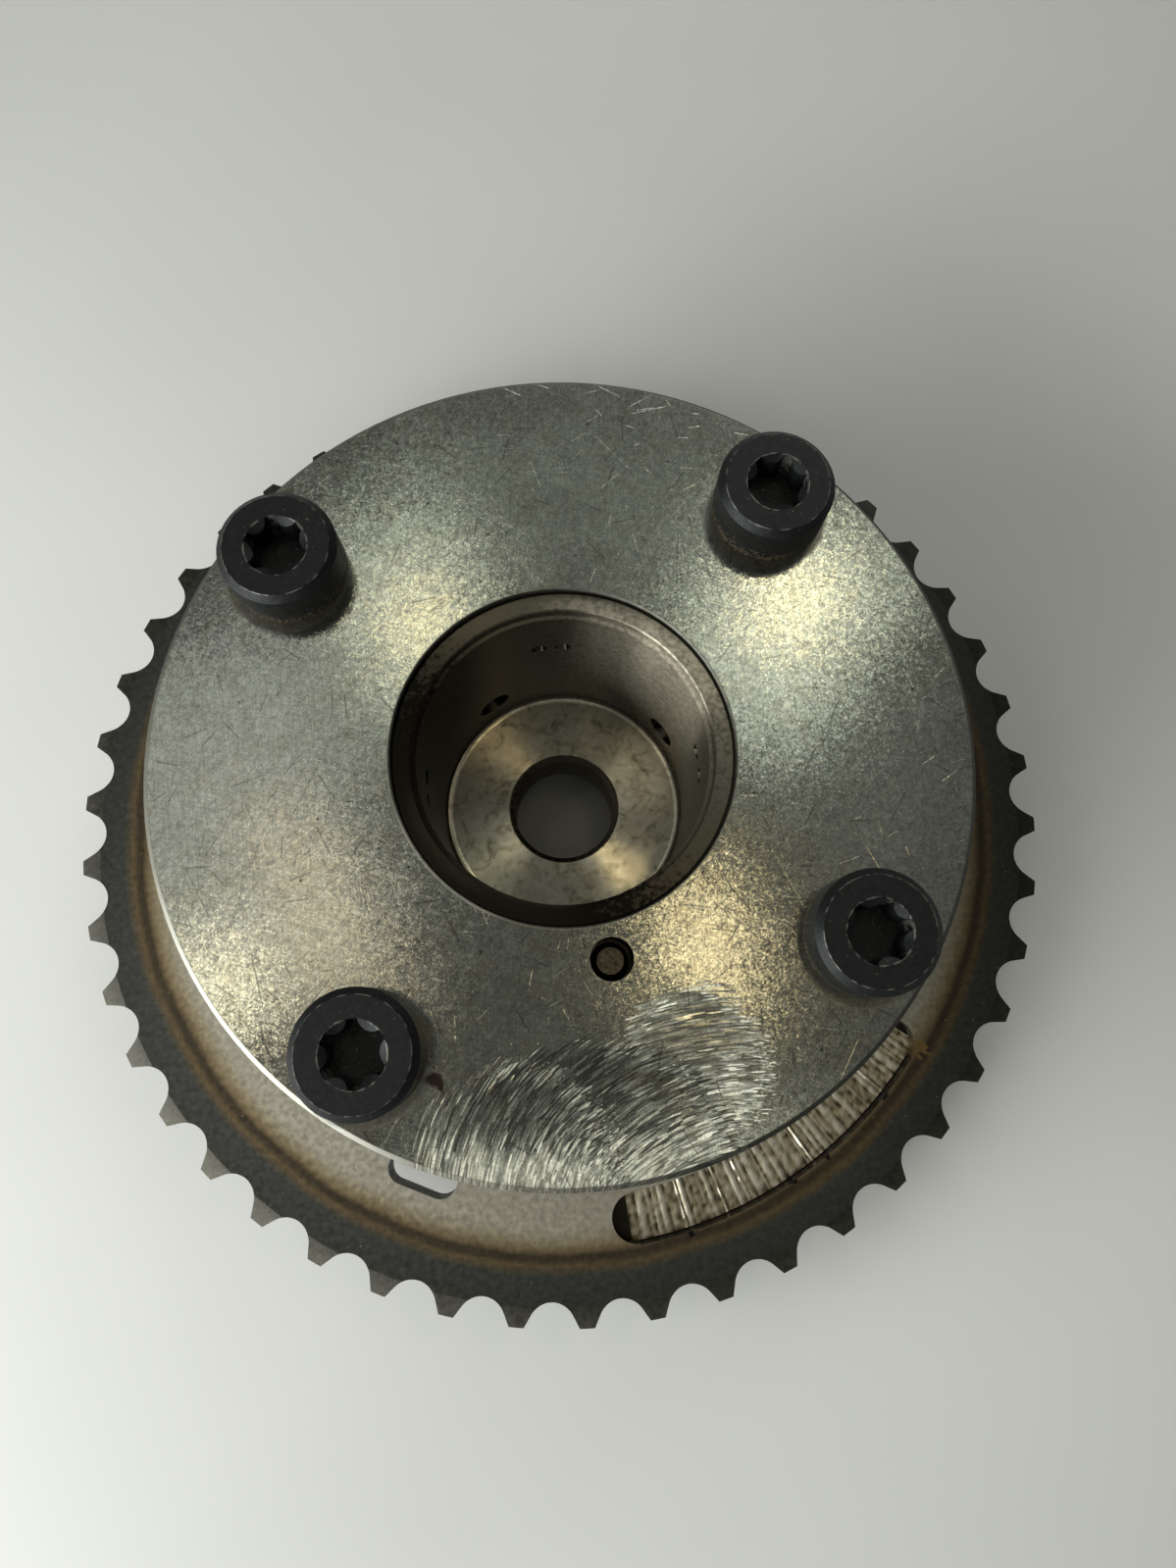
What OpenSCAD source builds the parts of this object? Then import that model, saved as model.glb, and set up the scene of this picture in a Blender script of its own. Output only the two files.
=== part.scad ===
// Vane-type cam phaser: chain sprocket, stator, rotor, front cover and lock pin.
// Millimetres. Z is the camshaft axis and points out of the front cover.
// The origin is on the axis, on the rear face of the sprocket's collar.

/* [Front cover] */
// How far the cover stands out past the stator
cover_overhang = 0.5; // [0.25:0.25:5]
// Thickness of the cover
cover_t = 4; // [3:0.5:7]
// Chamfer round the cover's edges
cover_edge = 0.5; // [0.2:0.1:1]
// Diameter of the vent hole over the lock pin
vent_d = 4.1; // [3.6:0.1:5]

/* [Cover screws] */
// Distance of the screws inside the stator's side
screw_inset = 6.5; // [4.5:0.25:7.5]
// Place of the first screw round the axis, set off so that the cover fits one way only
screw_1_angle = 51; // [48:0.5:60]
// Place of the second screw
screw_2_angle = 145.3; // [140:0.5:152]
// Place of the third screw
screw_3_angle = 237.2; // [230:0.5:242]
// Place of the fourth screw
screw_4_angle = 328; // [320:0.5:332]
// Thread diameter
screw_d = 6; // [5:0.5:7]
// Diameter of the screw head
head_d = 11.4; // [9:0.1:13]
// Height of the screw head
head_h = 5.4; // [4.5:0.1:8]
// Chamfer round the top of the head
head_edge = 0.65; // [0.2:0.05:1]
// Six-lobe socket, across the points
socket_d = 6; // [5:0.1:7]
// Six-lobe socket, across the valleys
socket_waist_d = 4.5; // [3.6:0.1:4.9]
// Radius of the valleys between the socket's points
socket_valley_r = 1.3; // [1.1:0.1:1.8]
// Turn of the first screw's socket, as the screw was left when it was tightened
socket_1_turn = 6; // [0:1:60]
// Turn of the second screw's socket
socket_2_turn = 44; // [0:1:60]
// Turn of the third screw's socket
socket_3_turn = 34; // [0:1:60]
// Turn of the fourth screw's socket
socket_4_turn = 12; // [0:1:60]
// Depth of the socket
socket_depth = 3.4; // [2:0.1:4]
// Depth of the cone at the socket's mouth
socket_cone = 0.5; // [0.2:0.1:0.8]
// How far the screw's end stays inside the sprocket's web
screw_end_inset = 1; // [0.5:0.25:3]

/* [Sprocket] */
// Number of teeth
teeth = 46; // [40:2:50]
// Diameter over the tooth tips
tip_d = 120.2; // [116:0.2:126]
// Diameter at the bottom of the tooth gaps
root_d = 114.2; // [112.4:0.2:115.4]
// Radius of the round seat at the bottom of a tooth gap
seat_r = 2.75; // [2.4:0.05:3]
// Slope of the tooth flanks
flank_angle = 29; // [20:1:34]
// Place of the first tooth round the axis
tooth_angle = -1.3; // [-4:0.1:4]
// Thickness of the toothed rim
rim_t = 4; // [3:0.25:6]
// Length of the bevel on both sides of the teeth, along the radius
tooth_bevel_l = 2.3; // [1:0.1:2.6]
// Height of that bevel, along the axis
tooth_bevel_h = 0.5; // [0.2:0.05:0.8]
// Diameter of the thicker web that takes the screws
web_d = 82; // [80:0.5:84]
// Thickness of the web
web_t = 7; // [6.5:0.5:10]
// Chamfer round the web and the collar
web_edge = 0.8; // [0.3:0.1:1.2]
// Diameter of the collar behind the web
collar_d = 46; // [42:0.5:50]
// Height of the collar behind the web
collar_h = 7; // [6:0.5:12]

/* [Camshaft seat] */
// Bore of the collar, which runs on the camshaft nose
pilot_d = 36; // [35:0.5:38]
// How far the pilot bore reaches into the sprocket, relief groove included
pilot_depth = 10; // [9:0.5:11]
// Width of the relief groove at the end of the pilot bore
relief_w = 1; // [0.5:0.25:2]
// Depth of the relief groove
relief_depth = 0.4; // [0.2:0.1:0.8]
// How far the rotor's rear face stands out into the pilot bore
rotor_proud = 0.2; // [0:0.05:0.4]
// Diameter of the timing dowel's hole in the rotor
timing_hole_d = 5; // [4:0.5:6]
// Distance of the timing hole from the axis
timing_hole_r = 11.5; // [11:0.25:12.5]
// Depth of the timing hole
timing_hole_depth = 4.5; // [3:0.5:5.5]
// Place of the timing hole round the axis
timing_hole_angle = 90; // [0:5:360]

/* [Window and groove in the sprocket] */
// Place of the window round the axis
window_angle = -111; // [-115:1:-100]
// Distance of the window's outer edge from the axis
window_outer_r = 48.1; // [47.5:0.1:50]
// Size of the window along the radius
window_l = 5.6; // [4.5:0.1:6]
// Size of the window across the radius
window_w = 8.4; // [6:0.1:12]
// Corner radius of the window
window_corner_r = 1.9; // [0.8:0.1:2.2]
// Mean radius of the milled groove
groove_r = 48.8; // [47.5:0.1:50]
// Width of the groove
groove_w = 6; // [4:0.1:7]
// How much narrower the cutter left the groove's ends
groove_end_less = 0.3; // [0.2:0.05:0.6]
// Depth of the groove
groove_depth = 2.2; // [1:0.1:2.6]
// Where the groove starts
groove_from = -80; // [-86:0.5:-70]
// Where the groove ends
groove_to = -35.5; // [-50:0.5:-25]

/* [Stator] */
// Outside diameter of the stator
stator_d = 79; // [78:0.5:79]
// Height of the stator
stator_h = 28; // [25:0.5:34]
// Wall of the stator outside the oil chambers
stator_wall = 5; // [4:0.25:6]
// Place of the first lobe round the axis
lobe_angle = 56; // [54:0.5:58]
// Half of the angle that a lobe takes up
lobe_half_angle = 22.5; // [20:0.5:23]
// Chamfer round the stator's outer edges
stator_edge = 0.4; // [0.2:0.1:0.8]
// Diameter of the dowels between stator and sprocket
dowel_d = 4; // [3:0.5:5]
// Length of the dowels
dowel_l = 10; // [8:1:14]
// Depth of the dowels in the sprocket
dowel_in_sprocket = 4; // [3:0.5:5.5]
// How far the dowels sit outside the middle of the lobes' depth
dowel_out = 0.5; // [0:0.25:1.5]
// Angle from a lobe's middle to its dowel
dowel_offset_angle = 15; // [14:0.5:16]

/* [Rotor] */
// Diameter of the rotor's hub
hub_d = 49; // [48:0.5:51]
// Place of the first vane round the axis
vane_angle = 20.5; // [19:0.5:21.5]
// Half of the angle that a vane takes up
vane_half_angle = 10; // [9:0.5:10]
// Diameter of the nose in the cover
nose_d = 33.2; // [32.4:0.1:33.8]
// How far the nose stays below the cover's face
nose_inset = 0.7; // [0.2:0.1:1.2]
// Chamfer round the nose
nose_edge = 0.15; // [0.1:0.05:0.4]
// Diameter of the journal in the sprocket
journal_d = 33; // [31:0.5:34]
// Diameter of the pocket
pocket_d = 28.8; // [28:0.1:29.2]
// Diameter of the step at the pocket's mouth
mouth_d = 29.5; // [29.3:0.1:30]
// Depth of the step at the pocket's mouth
mouth_depth = 1.3; // [0.8:0.1:2]
// Chamfer at the mouth and at the step
mouth_edge = 0.15; // [0.1:0.05:0.4]
// Radius of the corner between the pocket's floor and its wall
pocket_corner_r = 0.8; // [0.4:0.1:1.2]
// Thickness of the pocket's floor
floor_t = 7.5; // [6.5:0.25:10]
// Diameter of the bolt hole
bolt_hole_d = 12.2; // [10.5:0.1:13]
// Chamfer at the bolt hole's front
bolt_hole_edge = 0.65; // [0.3:0.05:1]
// Diameter of the lower oil ports
lower_port_d = 4; // [3:0.1:4.2]
// Diameter of the upper oil ports, which come in pairs
upper_port_d = 1.7; // [1.2:0.1:2]
// Distance between the two holes of a pair
upper_port_pitch = 2.6; // [2.2:0.1:2.8]
// Angle from a vane's middle to its ports
port_offset_angle = 15; // [15:0.5:18]
// Height of the lower ports above the pocket's floor
lower_port_up = 5.3; // [4:0.1:6.5]
// Distance of the upper ports below the cover's face
upper_port_down = 10.4; // [9:0.1:11.5]

/* [Lock pin] */
// How far the lock pin sits inside the middle between the cover's bore and the hub's side
lock_in = 0.48; // [0:0.02:0.78]
// Place of the lock pin round the axis
lock_angle = -77; // [-79:0.5:-75]
// Diameter of the lock pin
lock_d = 6; // [5.2:0.1:6.4]
// Length of the lock pin, nose included
lock_l = 13; // [12:0.5:14]
// Length of the tapered nose
lock_nose_l = 3; // [2:0.5:4]
// Diameter of the nose at its root
lock_nose_d = 3.9; // [3.2:0.1:4.2]
// Diameter of the nose at its tip
lock_tip_d = 2.6; // [2:0.1:3]
// Depth of the spring hole in the pin
lock_hole_depth = 7; // [5:0.5:8]
// Diameter of the spring hole in the pin
lock_hole_d = 4.2; // [4:0.1:4.4]
// How far the pin can be pushed back
lock_travel = 3; // [1:0.5:4]
// Free room left behind the pin at the end of its travel
lock_room = 1.5; // [0.5:0.5:3]
// Outside diameter of the coil spring
coil_d = 3.6; // [3:0.1:3.8]
// Diameter of the spring wire
wire_d = 0.6; // [0.4:0.05:0.7]
// Number of turns of the coil spring
coil_turns = 8; // [6:1:10]

/* [Seals] */
// Angle from a lobe's middle to its seal, which clears the screw
stator_seal_angle = -15.5; // [-17:0.5:-15]
// Width of the seal strips
seal_w = 3; // [2:0.1:3.6]
// Depth of the seal slots
seal_slot_depth = 3.4; // [3:0.1:4]
// Thickness of the leaf springs
leaf_t = 0.25; // [0.2:0.05:0.4]
// Rise of the leaf springs
leaf_rise = 0.6; // [0.4:0.05:0.8]

/* [Clearances] */
// Gap between the rotor's flat sides and the cover or sprocket
side_gap = 0.04; // [0.03:0.01:0.08]
// Gap between hub and lobes, and between vanes and chambers
running_gap = 0.06; // [0.03:0.01:0.1]
// Gap of the rotor's nose in the cover and of its journal in the sprocket
bearing_gap = 0.06; // [0.03:0.01:0.1]
// Gap of the lock pin in its bore
pin_gap = 0.03; // [0.02:0.01:0.06]
// Gap of the screws in the cover and stator
screw_gap = 0.3; // [0.2:0.05:0.5]
// Gap of the screws in their tapped holes
thread_gap = 0.05; // [0.03:0.01:0.1]
// Gap of the dowels in their holes
dowel_gap = 0.02; // [0.01:0.01:0.05]
// Gap round the seal strips and leaf springs
seal_gap = 0.05; // [0.03:0.01:0.08]

/* [Hidden] */
$fn = 96;
// A little more, so that a cut runs clear of the face that it opens
over = 1;
quarter = 90;
// Angle between the points of a rounded corner
corner_step = 15;
screw_angles = [screw_1_angle, screw_2_angle, screw_3_angle, screw_4_angle];
socket_turns = [socket_1_turn, socket_2_turn, socket_3_turn, socket_4_turn];
lobes = [0:3];
socket_points = 6;

// Heights of the main faces
front_z = collar_h + web_t;
rim_z = front_z - rim_t;
cover_z = front_z + stator_h;
top_z = cover_z + cover_t;
rotor_z = front_z + side_gap;
rotor_h = stator_h - 2 * side_gap;
rotor_top_z = rotor_z + rotor_h;
rotor_rear_z = pilot_depth - rotor_proud;
floor_z = rotor_rear_z + floor_t;
nose_z = top_z - nose_inset;

// Sizes and radii that follow from the fits
cover_d = stator_d + 2 * cover_overhang;
screw_circle_r = stator_d / 2 - screw_inset;
hub_r = hub_d / 2;
lobe_r = hub_r + running_gap;
chamber_r = stator_d / 2 - stator_wall;
vane_r = chamber_r - running_gap;
cover_bore_r = nose_d / 2 + bearing_gap;
lock_r = (cover_bore_r + hub_r) / 2 - lock_in;
dowel_r = (hub_r + chamber_r) / 2 + dowel_out;
journal_bore_r = journal_d / 2 + bearing_gap;
pilot_r = pilot_d / 2;
seat_centre_r = root_d / 2 + seat_r;

// Seals: the leaf spring lies on the slot's bottom and carries the strip
leaf_stack = leaf_rise + leaf_t + 2 * seal_gap;
seal_l = rotor_h - 2 * seal_gap;
leaf_w = seal_w - 4 * seal_gap;
leaf_l = seal_l - 2 * seal_w;
vane_slot_r = vane_r - seal_slot_depth;
stator_slot_r = lobe_r + seal_slot_depth;

// Lock pin: its nose stops just under the cover
lock_top_z = rotor_top_z - side_gap;
lock_bottom_z = lock_top_z - lock_l;
lock_bore_z = lock_bottom_z - lock_travel - lock_room;
coil_l = lock_bottom_z + lock_hole_depth - lock_bore_z - 2 * seal_gap;
coil_steps = 16;
wire_sides = 8;

// Place of a stator seal round the axis
function stator_seal_place(k) = lobe_angle + k * quarter + stator_seal_angle;

// Puts its children at a distance from the axis, turned to an angle
module at_polar(angle, r = 0, z = 0) {
    rotate([0, 0, angle]) translate([r, 0, z]) children();
}

// A wedge from the axis outwards, far past the stator, round the X direction
module wedge(half_angle, h) {
    reach = stator_d;
    half_w = reach * tan(half_angle);
    linear_extrude(h) polygon([[0, 0], [reach, -half_w], [reach, half_w]]);
}

// One hole at each screw
module screw_holes(d, z, h) {
    for (angle = screw_angles) at_polar(angle, screw_circle_r, z) cylinder(d = d, h = h);
}

// The room that one tooth gap takes: a round seat and two sloping flanks
module tooth_gap(h) {
    out_r = tip_d / 2 + over;
    start = [seat_centre_r - seat_r * sin(flank_angle), seat_r * cos(flank_angle)];
    end_y = start.y + (out_r - start.x) * tan(flank_angle);
    translate([seat_centre_r, 0, 0]) cylinder(r = seat_r, h = h);
    linear_extrude(h)
        polygon([[start.x, -start.y], [out_r, -end_y], [out_r, end_y], [start.x, start.y]]);
}

// A plate with round corners, centred across Y, running from the given radius inwards
module window_cut(h) {
    inner_r = window_outer_r - window_l;
    flat_w = window_w - 2 * window_corner_r;
    translate([inner_r, -flat_w / 2, 0]) cube([window_l, flat_w, h]);
    translate([inner_r + window_corner_r, -window_w / 2, 0])
        cube([window_l - 2 * window_corner_r, window_w, h]);
    for (x = [inner_r + window_corner_r, window_outer_r - window_corner_r], side = [-1, 1])
        translate([x, side * flat_w / 2, 0]) cylinder(r = window_corner_r, h = h);
}

module groove_cut() {
    z = front_z - groove_depth;
    h = groove_depth + over;
    at_polar(groove_from) rotate_extrude(angle = groove_to - groove_from)
        translate([groove_r - groove_w / 2, z]) square([groove_w, h]);
    for (angle = [groove_from, groove_to])
        at_polar(angle, groove_r, z) cylinder(d = groove_w - groove_end_less, h = h);
}

// Turned section of the sprocket, before the teeth are cut
module sprocket_blank() {
    tip_r = tip_d / 2;
    web_r = web_d / 2;
    collar_r = collar_d / 2;
    relief_r = pilot_r + relief_depth;
    rotate_extrude() polygon([
        [pilot_r + web_edge, 0],
        [collar_r - web_edge, 0],
        [collar_r, web_edge],
        [collar_r, collar_h],
        [web_r - web_edge, collar_h],
        [web_r, collar_h + web_edge],
        [web_r, rim_z],
        [tip_r - tooth_bevel_l, rim_z],
        [tip_r, rim_z + tooth_bevel_h],
        [tip_r, front_z - tooth_bevel_h],
        [tip_r - tooth_bevel_l, front_z],
        [journal_bore_r, front_z],
        [journal_bore_r, pilot_depth],
        [relief_r, pilot_depth],
        [relief_r, pilot_depth - relief_w],
        [pilot_r, pilot_depth - relief_w],
        [pilot_r, web_edge]
    ]);
}

module sprocket() {
    gap_angle = 360 / teeth;
    color("#5c574e") difference() {
        sprocket_blank();
        for (k = [0:teeth - 1])
            at_polar(tooth_angle + (k + 0.5) * gap_angle, 0, rim_z - over) tooth_gap(rim_t + 2 * over);
        at_polar(window_angle, 0, rim_z - over) window_cut(rim_t + 2 * over);
        groove_cut();
        screw_holes(screw_d + 2 * thread_gap, collar_h - over, web_t + 2 * over);
        for (k = [0, 2]) dowel_place(k) translate([0, 0, -dowel_in_sprocket - dowel_gap]) dowel_hole();
    }
}

// Dowels stand on the sprocket's front face, in the first and third lobe
module dowel_place(k) {
    at_polar(lobe_angle + k * quarter + dowel_offset_angle, dowel_r, front_z) children();
}

module dowel_hole() {
    cylinder(d = dowel_d + 2 * dowel_gap, h = dowel_l + 2 * dowel_gap);
}

module housing_dowel(k) {
    edge = dowel_d / 10;
    r = dowel_d / 2;
    color("#8d8a84") dowel_place(k) translate([0, 0, -dowel_in_sprocket]) rotate_extrude()
        polygon([[0, 0], [r - edge, 0], [r, edge], [r, dowel_l - edge], [r - edge, dowel_l], [0, dowel_l]]);
}

module stator_blank() {
    r = stator_d / 2;
    top = cover_z;
    rotate_extrude() polygon([
        [lobe_r, front_z],
        [r - stator_edge, front_z],
        [r, front_z + stator_edge],
        [r, top - stator_edge],
        [r - stator_edge, top],
        [lobe_r, top]
    ]);
}

module stator() {
    chamber_half_angle = quarter / 2 - lobe_half_angle;
    cut_z = front_z - over;
    cut_h = stator_h + 2 * over;
    color("#77736c") difference() {
        stator_blank();
        for (k = lobes) intersection() {
            translate([0, 0, cut_z]) cylinder(r = chamber_r, h = cut_h);
            at_polar(lobe_angle + (k + 0.5) * quarter, 0, cut_z) wedge(chamber_half_angle, cut_h);
        }
        screw_holes(screw_d + 2 * screw_gap, cut_z, cut_h);
        for (k = [0, 2]) dowel_place(k) translate([0, 0, -dowel_in_sprocket - dowel_gap]) dowel_hole();
        for (k = lobes) at_polar(stator_seal_place(k), 0, cut_z)
            translate([0, -seal_w / 2 - seal_gap, 0]) cube([stator_slot_r, seal_w + 2 * seal_gap, cut_h]);
    }
}

module front_cover() {
    r = cover_d / 2;
    color("#8e8d86") difference() {
        rotate_extrude() polygon([
            [cover_bore_r, cover_z],
            [r - cover_edge, cover_z],
            [r, cover_z + cover_edge],
            [r, top_z - cover_edge],
            [r - cover_edge, top_z],
            [cover_bore_r + nose_edge, top_z],
            [cover_bore_r, top_z - nose_edge]
        ]);
        screw_holes(screw_d + 2 * screw_gap, cover_z - over, cover_t + 2 * over);
        at_polar(lock_angle, lock_r, cover_z - over) cylinder(d = vent_d, h = cover_t + 2 * over);
    }
}

// Outline of the six-lobe socket
module socket_outline() {
    valley_r = socket_waist_d / 2 + socket_valley_r;
    difference() {
        circle(d = socket_d);
        for (k = [0:socket_points - 1]) rotate((k + 0.5) * 360 / socket_points)
            translate([valley_r, 0]) circle(r = socket_valley_r);
    }
}

// Cone at the socket's mouth, as wide as the points on the head's face
module socket_mouth() {
    spread = socket_d - socket_waist_d;
    translate([0, 0, head_h - socket_cone])
        cylinder(d1 = socket_waist_d, d2 = socket_waist_d + 2 * spread, h = 2 * socket_cone);
}

// One screw, standing on the cover's face
module cover_screw() {
    shank_r = screw_d / 2;
    r = head_d / 2;
    end_z = collar_h + screw_end_inset - top_z;
    difference() {
        rotate_extrude() polygon([
            [0, end_z],
            [shank_r - head_edge, end_z],
            [shank_r, end_z + head_edge],
            [shank_r, 0],
            [r, 0],
            [r, head_h - head_edge],
            [r - head_edge, head_h],
            [0, head_h]
        ]);
        translate([0, 0, head_h - socket_depth]) linear_extrude(socket_depth + over) socket_outline();
        socket_mouth();
    }
}

module cover_screws() {
    color("#26282b") for (k = lobes)
        at_polar(screw_angles[k], screw_circle_r, top_z)
            rotate(socket_turns[k] - screw_angles[k]) cover_screw();
}

// Turned section of the rotor: journal, hub, nose, pocket and bolt hole
module rotor_core() {
    bolt_r = bolt_hole_d / 2;
    nose_r = nose_d / 2;
    mouth_r = mouth_d / 2;
    pocket_r = pocket_d / 2;
    journal_r = journal_d / 2;
    step_z = nose_z - mouth_depth;
    corner = [
        for (turn = [0:corner_step:90])
            let (in = pocket_corner_r * (1 - cos(turn)))
            let (up = pocket_corner_r * (1 - sin(turn)))
            [pocket_r - in, floor_z + up]
    ];
    outside = [
        [bolt_r, rotor_rear_z],
        [journal_r - mouth_edge, rotor_rear_z],
        [journal_r, rotor_rear_z + mouth_edge],
        [journal_r, rotor_z],
        [hub_r, rotor_z],
        [hub_r, rotor_top_z],
        [nose_r, rotor_top_z],
        [nose_r, nose_z - nose_edge],
        [nose_r - nose_edge, nose_z],
        [mouth_r + mouth_edge, nose_z],
        [mouth_r, nose_z - mouth_edge],
        [mouth_r, step_z],
        [pocket_r, step_z - mouth_edge]
    ];
    hole = [
        [bolt_r + bolt_hole_edge, floor_z],
        [bolt_r, floor_z - bolt_hole_edge]
    ];
    rotate_extrude() polygon(concat(outside, corner, hole));
}

// Oil hole from the pocket out through the hub, along the radius or set off beside it
module port(angle, z, d, aside = 0) {
    at_polar(angle, bolt_hole_d / 2, z) translate([0, aside, 0])
        rotate([0, 90, 0]) cylinder(d = d, h = vane_r);
}

module rotor() {
    color("#4a4641") difference() {
        union() {
            rotor_core();
            for (k = lobes) difference() {
                intersection() {
                    translate([0, 0, rotor_z]) cylinder(r = vane_r, h = rotor_h);
                    at_polar(vane_angle + k * quarter, 0, rotor_z) wedge(vane_half_angle, rotor_h);
                }
                translate([0, 0, rotor_z - over]) cylinder(r = hub_r - over, h = rotor_h + 2 * over);
            }
        }
        for (k = lobes) {
            middle = vane_angle + k * quarter;
            upper_angle = middle - port_offset_angle;
            upper_z = top_z - upper_port_down;
            for (side = [-1, 1]) port(upper_angle, upper_z, upper_port_d, side * upper_port_pitch / 2);
            port(middle + port_offset_angle, floor_z + lower_port_up, lower_port_d);
            at_polar(middle, vane_slot_r, rotor_z - over) translate([0, -seal_w / 2 - seal_gap, 0])
                cube([seal_slot_depth + over, seal_w + 2 * seal_gap, rotor_h + 2 * over]);
        }
        at_polar(lock_angle, lock_r, lock_bore_z) cylinder(d = lock_d + 2 * pin_gap, h = rotor_h);
        at_polar(timing_hole_angle, timing_hole_r, rotor_rear_z - over)
            cylinder(d = timing_hole_d, h = timing_hole_depth + over);
    }
}

// Bowed strip: its ends lie on X = 0 and its middle rises along X
module leaf_spring() {
    bend_r = (leaf_l * leaf_l / 4 + leaf_rise * leaf_rise) / (2 * leaf_rise);
    crown = leaf_rise + leaf_t;
    intersection() {
        translate([crown - bend_r, 0, 0]) rotate([90, 0, 0]) difference() {
            cylinder(r = bend_r, h = leaf_w, center = true);
            cylinder(r = bend_r - leaf_t, h = leaf_w + over, center = true);
        }
        translate([-leaf_t, -leaf_w / 2, -leaf_l / 2]) cube([crown + 2 * leaf_t, leaf_w, leaf_l]);
    }
}

module vane_seal(k) {
    inner_r = vane_slot_r + leaf_stack;
    color("#3a3530") intersection() {
        translate([0, 0, rotor_z]) cylinder(r = chamber_r - seal_gap, h = rotor_h);
        at_polar(vane_angle + k * quarter, inner_r, rotor_z + seal_gap)
            translate([0, -seal_w / 2, 0]) cube([seal_slot_depth, seal_w, seal_l]);
    }
}

module vane_seal_spring(k) {
    color("#9a978f") at_polar(vane_angle + k * quarter, vane_slot_r + seal_gap, rotor_z + rotor_h / 2)
        leaf_spring();
}

module stator_seal(k) {
    outer_r = stator_slot_r - leaf_stack;
    color("#3a3530") difference() {
        at_polar(stator_seal_place(k), outer_r - seal_slot_depth, rotor_z + seal_gap)
            translate([0, -seal_w / 2, 0]) cube([seal_slot_depth, seal_w, seal_l]);
        translate([0, 0, rotor_z]) cylinder(r = hub_r + seal_gap, h = rotor_h);
    }
}

module stator_seal_spring(k) {
    color("#9a978f") at_polar(stator_seal_place(k), stator_slot_r - seal_gap, rotor_z + rotor_h / 2)
        rotate([0, 0, 180]) leaf_spring();
}

module lock_pin() {
    r = lock_d / 2;
    edge = wire_d / 2;
    hole_r = lock_hole_d / 2;
    shoulder = lock_l - lock_nose_l;
    color("#7d7466") at_polar(lock_angle, lock_r, lock_bottom_z) rotate_extrude() polygon([
        [hole_r, 0],
        [r - edge, 0],
        [r, edge],
        [r, shoulder - edge],
        [r - edge, shoulder],
        [lock_nose_d / 2, shoulder],
        [lock_tip_d / 2, lock_l],
        [0, lock_l],
        [0, lock_hole_depth],
        [hole_r, lock_hole_depth]
    ]);
}

// Coil spring: one ring of wire points at each step along the helix
module coil_spring(length) {
    wire_r = wire_d / 2;
    mean_r = coil_d / 2 - wire_r;
    rings = coil_turns * coil_steps;
    rise = length - wire_d;
    points = [
        for (i = [0:rings], j = [0:wire_sides - 1])
            let (turn = i * 360 / coil_steps)
            let (round = j * 360 / wire_sides)
            let (r = mean_r + wire_r * cos(round))
            [r * cos(turn), r * sin(turn), wire_r + rise * i / rings + wire_r * sin(round)]
    ];
    walls = [
        for (i = [0:rings - 1], j = [0:wire_sides - 1])
            let (next = (j + 1) % wire_sides)
            let (low = i * wire_sides)
            [low + j, low + wire_sides + j, low + wire_sides + next, low + next]
    ];
    start_cap = [for (j = [0:wire_sides - 1]) j];
    end_cap = [for (j = [wire_sides - 1:-1:0]) rings * wire_sides + j];
    polyhedron(points, concat([start_cap], walls, [end_cap]));
}

module lock_pin_spring() {
    color("#a5a29b") at_polar(lock_angle, lock_r, lock_bore_z + seal_gap) coil_spring(coil_l);
}

sprocket();
stator();
front_cover();
cover_screws();
rotor();
lock_pin();
lock_pin_spring();
housing_dowel(0);  // housing_dowel_1
housing_dowel(2);  // housing_dowel_2
for (k = lobes) {
    vane_seal(k);
    vane_seal_spring(k);
    stator_seal(k);
    stator_seal_spring(k);
}
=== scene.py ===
# %% [markdown]
# # A cam phaser, from bare solids to worn steel
# The solids of the phaser are already here, at their real size and in metres. This lesson gives each of
# them the finish that the real part shows: a ground cover, black screws, a heat-tinted sprocket and a
# turned pocket. Nothing that is loaded is moved or reshaped: only surfaces change, and two small pieces
# are added.

# %% Load the solids
import math
import random

import bpy
from mathutils import Euler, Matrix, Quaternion, Vector


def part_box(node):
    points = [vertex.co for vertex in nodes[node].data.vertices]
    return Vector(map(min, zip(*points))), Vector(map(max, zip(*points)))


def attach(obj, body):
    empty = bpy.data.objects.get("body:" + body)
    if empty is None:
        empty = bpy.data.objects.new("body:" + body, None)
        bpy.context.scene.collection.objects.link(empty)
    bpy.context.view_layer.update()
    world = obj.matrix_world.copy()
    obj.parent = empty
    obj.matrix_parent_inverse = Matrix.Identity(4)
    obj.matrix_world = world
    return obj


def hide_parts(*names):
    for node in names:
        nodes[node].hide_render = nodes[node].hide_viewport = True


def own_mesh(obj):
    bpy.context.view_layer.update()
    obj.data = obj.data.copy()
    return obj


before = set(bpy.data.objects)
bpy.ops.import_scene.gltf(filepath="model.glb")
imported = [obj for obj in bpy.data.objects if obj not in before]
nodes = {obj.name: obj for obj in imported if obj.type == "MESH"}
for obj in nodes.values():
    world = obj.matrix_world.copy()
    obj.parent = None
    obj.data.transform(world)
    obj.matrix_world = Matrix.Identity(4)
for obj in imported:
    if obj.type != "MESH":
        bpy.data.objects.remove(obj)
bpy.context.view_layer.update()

MM = 0.001

# %% [markdown]
# ## Reading sizes from the solids
# Patterns such as heat bands or grime rings have to sit where the part is. The safest way is to measure
# the solids instead of typing numbers twice. Each screw stands in its own quarter of the plane, so the
# middle of its points gives its axis. The toothed rim is what lies far from the axis, and its lowest point
# is the height of its rear face.

# %% Measure the solids
RIM_FROM = 50 * MM

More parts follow.
